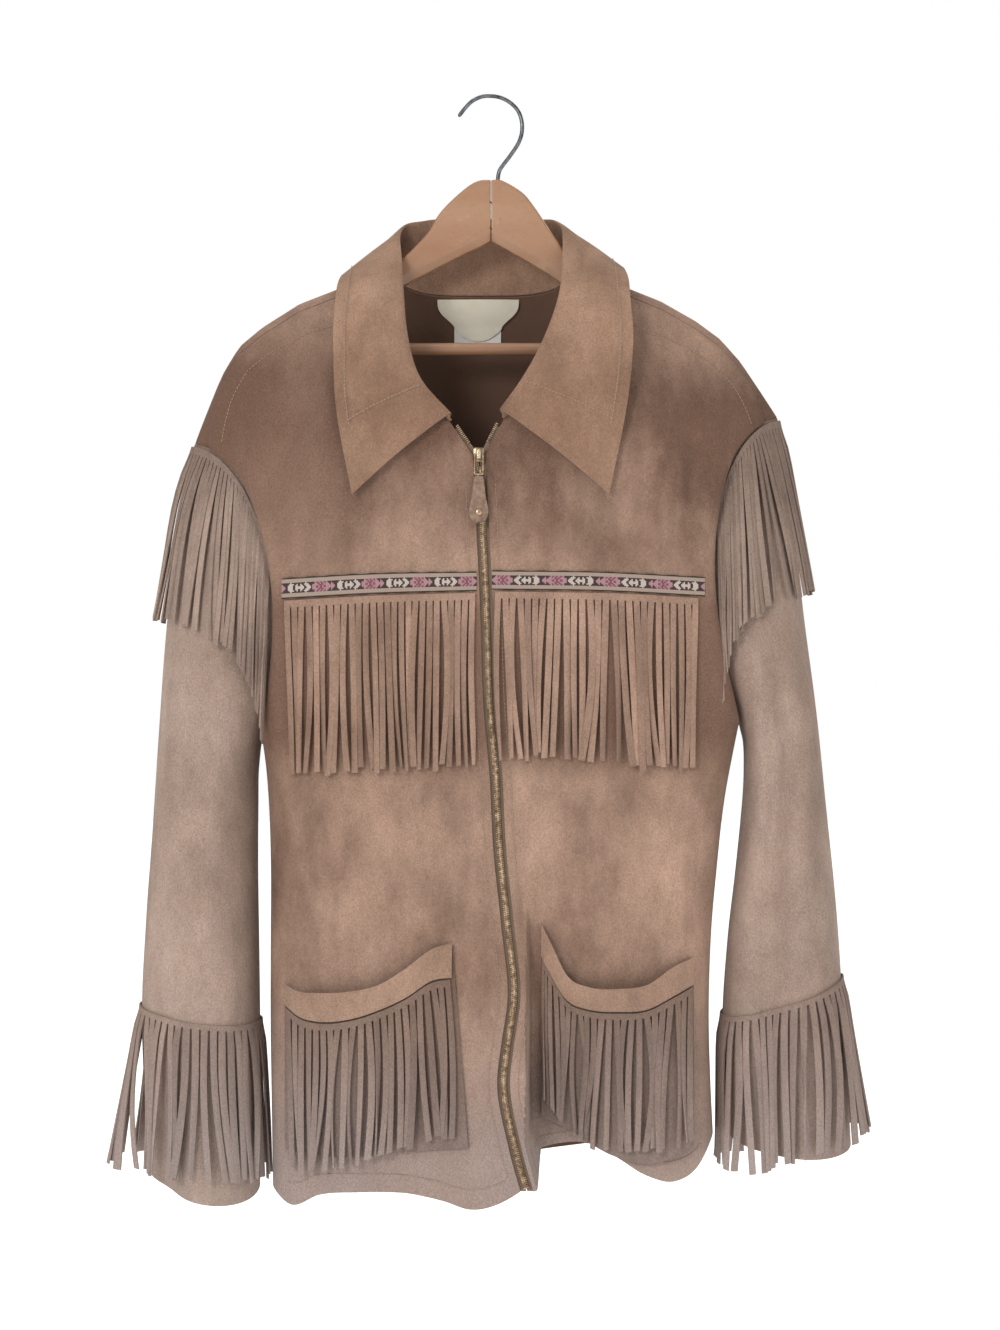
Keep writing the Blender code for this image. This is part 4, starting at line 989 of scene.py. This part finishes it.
# Pockets. A patch of suede sewn on at its sides and foot, gaping at the mouth, with a folded
# band along the mouth and strands hanging from under the band.
POCKET = {  # k, x, mouth, band low, bag low, tip
    -1: [
        (0.00, -30, -669, -695, -827, -817), (0.12, -45, -673, -697, -829, -818),
        (0.28, -66, -688, -710, -832, -828), (0.45, -88, -701, -720, -834, -835),
        (0.60, -108, -706, -727, -836, -840), (0.78, -132, -708, -730, -836, -846),
        (0.90, -148, -708, -727, -834, -846), (1.00, -160, -703, -718, -832, -842),
    ],
    1: [
        (0.00, 40, -654, -678, -810, -792), (0.10, 45, -664, -688, -812, -799),
        (0.22, 58, -690, -709, -818, -818), (0.38, 78, -700, -718, -828, -829),
        (0.55, 100, -702, -720, -838, -833), (0.72, 122, -700, -719, -842, -831),
        (0.86, 141, -688, -710, -838, -828), (1.00, 157, -682, -702, -828, -824),
    ],
}


def gape(side, k, z, mouth):
    """How far the pocket stands off the front."""
    deep = np.clip((mouth - z) / 110, 0, 1)
    low = 1 if side < 0 else 5
    open_mm = 9 if side < 0 else 11
    return 0.6 + low * deep + open_mm * np.sin(np.pi * np.clip(k, 0, 1)) * (1 - deep) ** 2


def bag(side, k, w):
    x, mouth, band, low, tip = columns(POCKET[side], k)
    x = x + np.where(k < 0.5, (0.5 - k) * (26 if side < 0 else 0), 0) * w
    z = mouth - 1 + (low - mouth + 1) * w
    return on_front(side, x, z, gape(side, k, z, mouth))


def pocket_band(side, k, w):
    x, mouth, band, low, tip = columns(POCKET[side], k)
    z = mouth + (band - mouth) * w
    round_edge = 0.9 * np.sin(np.pi * np.clip(w, 0, 1)) ** 0.5
    return on_front(side, x, z, gape(side, k, z, mouth) + 2.3 + round_edge)


# The pocket bag and its strands are darker than the body's suede: painted shade behind and between the
# strands.
pocket_suede_painted_shade = suede("pocket_suede_painted_shade", (0.17, 0.112, 0.085), (0.09, 0.055, 0.04), 0.6, 0.5)
pocket_strand_suede_painted_shade = suede("pocket_strand_suede_painted_shade", (0.190, 0.126, 0.096), (0.10, 0.062, 0.047), 0.7, 0.7,
                            strands=True)
band_suede = suede("band_suede", (0.33, 0.215, 0.155), (0.18, 0.105, 0.074), 0.7, 0.2)
for side, tag in SIDES:
    bm = grid(partial(bag, side), np.linspace(0, 1, 65), np.linspace(0, 1, 49))
    piece("pocket_bag_" + tag, thicken(bm, POCKET_WALL * side), pocket_suede_painted_shade,
                          ["pocket_" + tag])
    bm = grid(partial(pocket_band, side), np.linspace(0, 1, 97), np.linspace(0, 1, 15))
    piece("pocket_band_fold_" + tag, thicken(bm, POCKET_WALL * side), band_suede,
                        ["pocket_band_" + tag])

    def pocket_strand(k, d, lift):
        x, mouth, band, low, tip = columns(POCKET[side], k)
        z = band - 2 + (tip - band + 2) * d
        x = x + np.where(k < 0.5, (0.5 - k) * (22 if side < 0 else 0), 0) * d
        return on_front(side, x, z, gape(side, k, z, mouth) + 2.8 + 2 * d + lift)

    bm = fringe(pocket_strand, 0.01, 0.99, 23, 0.74, POCKET_ROWS, STRAND_WALL * side, 31 + side, 1.6)
    piece("pocket_fringe_strands_" + tag, bm, pocket_strand_suede_painted_shade,
                                 ["pocket_fringe_" + tag], sharp=60)

# Sleeve fringes. One strip is sewn into each armhole seam and hangs over the sleeve, another
# goes round each cuff 100 mm above its edge.
ARM_U = {-1: (-0.2, 0.232), 1: (-0.2, 0.2)}
ARM_STRANDS = {-1: 58, 1: 54}
CUFF_U = (-0.495, 0.485)
CUFF_T = 0.825


def hanging(side, u, t0, drop, lift):
    """A place on a sleeve a given drop below the ring t0, moved out by lift."""
    u, drop, lift = np.broadcast_arrays(np.asarray(u, float), drop, lift)
    steps = np.linspace(t0, 1, 60)
    rings = sleeve(side, u[..., None], steps)
    z = np.minimum.accumulate(rings[..., 2], axis=-1)
    want = z[..., 0] - drop
    rows = zip(want.ravel(), z.reshape(-1, len(steps)))
    out = np.array([np.interp(a, b[::-1], steps[::-1]) for a, b in rows]).reshape(u.shape)
    e = 0.004
    a = sleeve(side, u + e, out) - sleeve(side, u - e, out)
    b = sleeve(side, u, np.minimum(out + e, 1)) - sleeve(side, u, np.maximum(out - e, 0))
    n = np.cross(a, b) * side
    n /= np.linalg.norm(n, axis=-1, keepdims=True) + 1e-9
    return sleeve(side, u, out) + n * lift[..., None]


def sleeve_tree(side, way):
    u, t = np.meshgrid(np.linspace(0, 0.5, 60) * way, np.linspace(0, 1, 200))
    p = sleeve(side, u.ravel(), t.ravel())
    tree = kdtree.KDTree(len(p))
    for i, q in enumerate(p):
        tree.insert((q[0], 0, q[2]), i)
    tree.balance()
    return tree, p[:, 1]


TREES = {(side, way): sleeve_tree(side, way) for side in (-1, 1) for way in (-1, 1)}


def beside(side, way, x, z):
    """Depth of the sleeve's front (way 1) or back (way -1) at x and z."""
    tree, depth = TREES[side, way]
    flat = []
    for a, b in zip(x.ravel(), z.ravel()):
        near = tree.find_n((a, 0, b), 5)
        weights = np.array([1 / (d + 0.4) for _, _, d in near])
        flat.append(np.dot(weights, [depth[i] for _, i, _ in near]) / weights.sum())
    return np.array(flat).reshape(x.shape)


arm_fringe_suede = suede("arm_fringe_suede", (0.29, 0.215, 0.175), (0.15, 0.10, 0.077), 0.6, 0.0,
                         strands=True)
cuff_fringe_suede = suede("cuff_fringe_suede", (0.275, 0.195, 0.158), (0.14, 0.09, 0.07), 0.7, 0.9,
                          strands=True)
for side, tag in SIDES:

    def arm_strand(u, d, lift):
        drop = 2.5 + (138 - 20 * np.abs(u)) * d
        lift = lift + 0.8 + 2 * ease(d / 0.2) + 5 * d ** 1.5
        flow = hanging(side, u, 0.0, drop, lift)
        root = sleeve(side, u, 0.0)
        x = root[..., 0] + side * (1.5 + 22 * d * np.abs(u))
        z = root[..., 2] - drop
        y = root[..., 1].copy()
        for way in (1, -1):
            deep = np.abs(beside(side, way, x, z))
            y = np.where(np.sign(u) == way, -way * (np.maximum(np.abs(y), deep) + lift + 1), y)
        k = ease(np.abs(u) / 0.12)[..., None]
        return flow + (pts(x, z, y) - flow) * k

    def cuff_strand(u, d, lift):
        flare = (22 if side < 0 else 9) * np.clip(np.cos(2 * np.pi * u), 0, 1) ** 2
        p = hanging(side, u, CUFF_T, 100 * d, lift + 0.8 + 2 * ease(d / 0.2) + (2 + flare) * d ** 1.4)
        p[..., 2] -= 22 * d ** 2
        return p

    bm = fringe(arm_strand, *ARM_U[side], ARM_STRANDS[side], 0.80, FRINGE_ROWS, -STRAND_WALL * side,
                51 + side, 1.25)
    piece("armhole_fringe_strands_" + tag, bm, arm_fringe_suede,
                              ["armhole_fringe_" + tag], sharp=60)
    bm = fringe(cuff_strand, *CUFF_U, 44, 0.74, FRINGE_ROWS, -STRAND_WALL * side, 71 + side, 1.5)
    piece("cuff_fringe_strands_" + tag, bm, cuff_fringe_suede,
                               ["cuff_fringe_" + tag], sharp=60)

# Zip. Two cotton tapes behind the fronts' edges carry antique brass teeth, meshed up to the
# slider and open above it. The tape's edge and its woven herringbone show beside the teeth.
ZIP_TOP = 0.852
TOOTH_PITCH = 1.55
TAPE_CLOTH = (0.165, 0.112, 0.078)

tape_cloth = Paint("zip_tape_cloth", Roughness=0.85, Specular_IOR_Level=0.2)
rows_across = tape_cloth.wave(260.0, 1.0, "DIAGONAL")
dust = tape_cloth.noise(60, 4.0)
cloth = tape_cloth.mix(tape_cloth.span(rows_across, 0.2, 0.8), TAPE_CLOTH, (0.235, 0.168, 0.12))
cloth = tape_cloth.mix(tape_cloth.span(dust, 0.45, 0.7, 0.0, 0.35), cloth, (0.11, 0.085, 0.055))
tape_cloth.relief(rows_across, 0.00012, 0.6)
tape_cloth.colour(cloth)

brass = metal("antique_brass", 300, (0.38, 0.66), (0.43, 0.305, 0.20), (0.17, 0.115, 0.072), 0.00005,
              rough=(0.3, 0.7, 0.3, 0.55), Metallic=1.0, Roughness=0.4)


def beads(lines, size, rounding):
    """Small rounded blocks at each place, lying along the given directions, as one mesh."""
    bm = bmesh.new()
    for at, along, out in lines:
        for p, d, n in zip(at, along, out):
            d = Vector(d).normalized()
            b = d.cross(Vector(n)).normalized()
            turn = Matrix((d * size[0], b * size[1], b.cross(d) * size[2])).transposed().to_4x4()
            spot = Matrix.Scale(0.001, 4) @ Matrix.Translation(Vector(p))
            bmesh.ops.create_cube(bm, size=1, matrix=spot @ turn)
    bmesh.ops.bevel(bm, geom=bm.edges[:], offset=rounding * 0.001, segments=1, profile=0.5, affect="EDGES",
                    offset_type="OFFSET", material=-1)
    return bm


def walk(fn, pitch):
    """Places a pitch apart along a line, with the line's direction there."""
    t = np.linspace(0, 1, 1500)
    p = fn(t)
    run = np.concatenate([[0], np.cumsum(np.linalg.norm(np.diff(p, axis=0), axis=1))])
    k = np.interp(np.arange(pitch / 2, run[-1], pitch), run, t)
    return fn(k), fn(np.minimum(k + 0.001, 1)) - fn(np.maximum(k - 0.001, 0))


for side, tag in SIDES:

    def tape(w, t):
        x, z, y = inner_edge(side, t)
        return pts(x - side * (4.6 - 5.6 * w), z, y + 2.9)

    bm = grid(tape, np.linspace(0, 1, 7), np.linspace(0, 0.88, 260))
    piece("zip_tape_cloth_" + tag, thicken(bm, TAPE_WALL * side), tape_cloth.material,
                        ["zip_tape_" + tag])

    def open_line(k):
        x, z, y = inner_edge(side, 0.869 + 0.013 * k)
        return pts(x - side * 3.6, z, y + 1.9)

    at, along = walk(open_line, TOOTH_PITCH)
    out = np.tile([0, -1, 0], (len(at), 1))
    piece("zip_open_teeth_" + tag, beads([(at, along, out)], (1.0, 2.4, 1.6), 0.2), brass,
          ["zip_row_" + tag])

closed_rows = []
for side, shift in ((-1, 0.0), (1, 0.5)):

    def closed_line(k):
        x, z, y = columns(ZIP, 0.003 + (ZIP_TOP - 0.003) * k)
        return pts(x + side * 0.75, z, y + 1.4)

    at, along = walk(closed_line, TOOTH_PITCH)
    at = at + (shift * TOOTH_PITCH) * along / np.linalg.norm(along, axis=1, keepdims=True)
    keep = at[:, 2] < -296
    closed_rows.append((at[keep], along[keep], np.tile([0, -1, 0], (keep.sum(), 1))))
piece("zip_closed_teeth", beads(closed_rows, (1.05, 3.2, 1.5), 0.2), brass, ["zip_chain"])

# Slider. Two brass wings joined by a nose, with a ribbed bridge that holds the pull's link.
SLIDER = [  # z above the middle, half width
    (-5.5, 2.6), (-4.4, 3.5), (-1.5, 3.7), (1.5, 4.0), (4.2, 4.0), (5.4, 3.0)]
SLIDER_AT = (-9.3, -290, -66.2)
SLIDER_DEEP = 3.2
BRIDGE_Y = -69.45
wing_rows = [(i / (len(SLIDER) - 1),) + r for i, r in enumerate(SLIDER)]
cx, cz, cy = SLIDER_AT


def wing(front_face):
    def place(k, w):
        z, half = columns(wing_rows, k)
        crown = 0.55 * (1 - (2 * w - 1) ** 2) * np.sin(np.pi * k) ** 0.5
        return pts(cx + half * (2 * w - 1), cz + z, cy + front_face * (SLIDER_DEEP - 1.3 + crown))
    return place


for word, face in (("front", -1), ("rear", 1)):
    bm = thicken(grid(wing(face), np.linspace(0, 1, 25), np.linspace(0, 1, 13)), 0.9 * face)
    ob = piece("zip_slider_" + word, bm, brass, ["zip_slider"] if face < 0 else [], sharp=50)
    bevelled(ob, 0.0003)
nose = [([(cx, cy, cz + 3.2)], [(0, 0, 1)], [(0, -1, 0)])]
piece("zip_slider_nose", beads(nose, (2.6, 1.7, 4.4), 0.3), brass)

ivory_brass = metal("pale_brass", 500, (0.4, 0.65), (0.66, 0.58, 0.42), (0.40, 0.32, 0.2), 0.00003, 3.0,
                    Metallic=0.9, Roughness=0.35)


def bridge(u, t):
    a = np.pi * t
    c = 2 * np.pi * u
    flat = np.sign(np.cos(c)) * np.abs(np.cos(c)) ** 0.5
    rib = 0.15 * np.cos(16 * np.pi * t)
    r = 3.9 + (0.55 + rib) * np.sign(np.sin(c)) * np.abs(np.sin(c)) ** 0.5
    return pts(cx + 1.55 * flat, cz + r * np.cos(a), BRIDGE_Y - r * 1.15 * np.sin(a))


piece("zip_slider_bridge", tube(bridge, 20, np.linspace(0, 1, 41)), ivory_brass,
      ["zip_bridge"])

# Pull. A wire link through the bridge, a drop-shaped leather tab and the rivet that closes
# the tab round the link. It swings on the link's top bar.
LINK = [(0, -290), (2.6, -290), (3.25, -290.7), (3.3, -293), (3.3, -302.5), (3.2, -304.8), (2.5, -305.5),
        (0, -305.5)]
LINK_Y = -71.4
LINK_WIRE = 0.75
TAB_Y = -70.2
RIVET_Y = -72.75
RIVET_R = 2.5
TAB = [(0, 2.9), (0.06, 3.5), (0.2, 4.2), (0.45, 5.3), (0.62, 6.6), (0.75, 7.2), (0.85, 6.9), (0.94, 5.2),
       (0.985, 2.8), (1, 0.9)]
TAB_TOP = -307.0
TAB_LONG = 35.6
RIVET_Z = -335


def link(u, t):
    loop = [(x, z) for x, z in LINK] + [(-x, z) for x, z in LINK[-2::-1]]
    rows = [(i / (len(loop) - 1),) + r for i, r in enumerate(loop)]
    c = curve(rows, t)
    d = curve(rows, (t + 0.004) % 1.0) - curve(rows, (t - 0.004) % 1.0)
    d /= np.linalg.norm(d, axis=-1, keepdims=True) + 1e-9
    a = 2 * np.pi * u
    side_x = d[..., 1] * LINK_WIRE * np.cos(a)
    side_z = -d[..., 0] * LINK_WIRE * np.cos(a)
    return pts(cx + c[..., 0] + side_x, c[..., 1] + side_z, LINK_Y + LINK_WIRE * np.sin(a))


bm = grid(link, np.arange(13) / 12, np.linspace(0, 1, 97), wrap=True)
piece("pull_wire_link", bm, brass, ["pull_link"], PULL)

hide = Paint("pull_hide", Roughness=0.6, Specular_IOR_Level=0.35)
pores = hide.node("ShaderNodeTexVoronoi", Vector=hide.place(), Scale=900.0).outputs["Distance"]
scuff = hide.noise(220, 5.0)
hide_colour = hide.mix(hide.span(scuff, 0.4, 0.65), (0.235, 0.15, 0.105), (0.13, 0.078, 0.052))
hide_colour = hide.mix(hide.span(pores, 0.5, 0.1, 0.0, 0.3), hide_colour, (0.09, 0.05, 0.035))
hide.relief(pores, 0.0001, 0.4)
hide.colour(hide_colour)


def tab(w, t):
    half = columns(TAB, t)[0]
    return pts(cx + half * w, TAB_TOP - TAB_LONG * t, TAB_Y + 0.25 * w * w)


bm = thicken(grid(tab, np.linspace(-1, 1, 15), np.linspace(0, 1, 61)), TAB_WALL)
bevelled(piece("pull_leather_tab", bm, hide.material, ["pull_tab"], PULL, sharp=50), 0.0004)

bm = bmesh.new()
bmesh.ops.create_uvsphere(bm, u_segments=28, v_segments=14, radius=1)
for v in bm.verts:
    x, y, z = v.co
    v.co = ((cx + RIVET_R * x) * 0.001, (RIVET_Y + 0.7 * z) * 0.001, (RIVET_Z + RIVET_R * y) * 0.001)
piece("pull_rivet_cap", bm, brass, ["pull_rivet"], PULL)

# Labels. A bare woven neck label with rounded lower corners over a short plain care label,
# both sewn inside the back of the neck.
LABEL_BACK = np.array([0.8333, 0.8667, 0.9])
BACK_LEFT = -237
BACK_WIDE = 466


def inside_back(x, z, gap):
    """A place in front of the back's inner face."""
    x, z = np.broadcast_arrays(np.asarray(x, float), np.asarray(z, float))
    y = []
    for a, b in zip(x.ravel(), z.ravel()):
        p = back((a - BACK_LEFT) / BACK_WIDE, LABEL_BACK)
        y.append(np.interp(b, p[:, 2], p[:, 1]))
    return pts(x, z, np.array(y).reshape(x.shape) - WALL - gap)


def neck_label(w, t):
    half = 33 - 14 * ease(t) ** 2
    return inside_back(-10.5 + half * w, -157.5 - 33 * t * (1 - 0.3 * w * w), 2.4)


def care_label(w, t):
    return inside_back(-11 + 19 * w, -175 - 17 * t, 0.9)


def satin(name, light, dark):
    cloth = Paint(name, Roughness=0.5, Specular_IOR_Level=0.4, Sheen_Weight=0.15)
    floats = cloth.wave(520.0, 0.8, "Z")
    age = cloth.noise(70, 4.0)
    colour = cloth.mix(cloth.span(floats, 0.2, 0.8, 0.0, 0.35), light, dark)
    colour = cloth.mix(cloth.span(age, 0.5, 0.75, 0.0, 0.4), colour, dark)
    cloth.relief(floats, 0.0001, 0.4)
    return cloth.colour(colour)


bm = thicken(grid(neck_label, np.linspace(-1, 1, 41), np.linspace(0, 1, 25)), -0.5)
piece("neck_label_cloth", bm, satin("label_satin", (0.74, 0.68, 0.56), (0.56, 0.49, 0.38)),
                       ["label"])
bm = thicken(grid(care_label, np.linspace(-1, 1, 25), np.linspace(0, 1, 13)), -0.3)
piece("care_label_cloth", bm, satin("care_satin", (0.82, 0.80, 0.74), (0.66, 0.63, 0.56)),
                       ["care_label"])

# Topstitching. Tan thread, eight stitches to the inch: round the collar, along the zip,
# shoulders, pocket bands, pocket edges, cuffs and hem.
STITCH = 3.1
THREAD = 0.62
thread = Paint("tan_thread", Roughness=0.7, Specular_IOR_Level=0.3)
twist = thread.wave(900.0, 0.3, "DIAGONAL")
thread.relief(twist, 0.00006, 0.4)
thread.colour(thread.mix(thread.span(twist, 0.2, 0.8), (0.36, 0.265, 0.19), (0.22, 0.15, 0.105)))


def stitched(name, lines):
    """Stitches along lines on the cloth, each a function of k from 0 to 1 with its way out."""
    rows = []
    for line, way in lines:
        at, along = walk(line, STITCH)
        rows.append((at, along, np.tile(way, (len(at), 1))))
    bm = beads(rows, (STITCH * 0.72, THREAD, THREAD * 0.8), 0.15)
    return piece(name, bm, thread.material, sharp=80)


def collar_line(v0, v1, w0, w1):
    """A line on the collar's visible side."""
    def line(k):
        v = v0 + (v1 - v0) * k
        w = w0 + (w1 - w0) * k
        return collar(v, w) + normals(collar, v, w) * (COLLAR_WALL + 0.1)
    return line


FACING = (0, -1, 0)
collar_seams = [
    (collar_line(0.045, 0.29, 0.925, 0.86), FACING), (collar_line(0.955, 0.71, 0.925, 0.86), FACING),
    (collar_line(0.05, 0.05, 0.40, 0.925), FACING), (collar_line(0.95, 0.95, 0.40, 0.925), FACING)]
collar_stitches = stitched("collar_stitches", collar_seams)

front_seams = []
for side, tag in SIDES:
    def zip_edge(k, side=side):
        t = 0.02 + 0.82 * k
        x, z, y = inner_edge(side, t)
        return on_front(side, x + side * 6.5, z, 0.25)

    def hem(k, side=side):
        s = 0.04 + 0.88 * k
        t = np.full(k.shape, 0.024)
        return out_of(partial(front, side), s, t, np.full(k.shape, 0.25))

    def shoulder_seam(k, side=side):
        s = 0.1 + 0.82 * k
        return out_of(partial(front, side), s, np.full(k.shape, 0.977), np.full(k.shape, 0.3))

    front_seams += [(zip_edge, FACING), (hem, FACING), (shoulder_seam, (0, -0.5, 0.86))]
front_stitches = stitched("front_stitches", front_seams)

pocket_seams = []
for side, tag in SIDES:
    def band_low(k, side=side):
        return pocket_band(side, 0.02 + 0.96 * k, np.full(k.shape, 0.86)) + np.array([0, -0.3, 0])

    def bag_edge(k, side=side):
        return bag(side, np.full(k.shape, 0.035), 0.16 + 0.8 * k) + np.array([0, -0.4, 0])

    def bag_foot(k, side=side):
        return bag(side, 0.04 + 0.92 * k, np.full(k.shape, 0.975)) + np.array([0, -0.4, 0])

    pocket_seams += [(band_low, FACING), (bag_edge, FACING), (bag_foot, FACING)]
pocket_stitches = stitched("pocket_stitches", pocket_seams)

cuff_seams = []
for side, tag in SIDES:
    def cuff(k, side=side):
        return hanging(side, 0.03 + 0.43 * k, CUFF_T, np.full(k.shape, -2.0), np.full(k.shape, 0.35))

    cuff_seams += [(cuff, FACING)]
cuff_stitches = stitched("cuff_stitches", cuff_seams)

# Sheets. Each cut piece of cloth with its flat size before it was sewn and hung.
POCKET_CUT = {-1: ((0.145, 0.17), 0.0197), 1: ((0.121, 0.19), 0.0176)}
for side, tag in SIDES:
    size, area = POCKET_CUT[side]
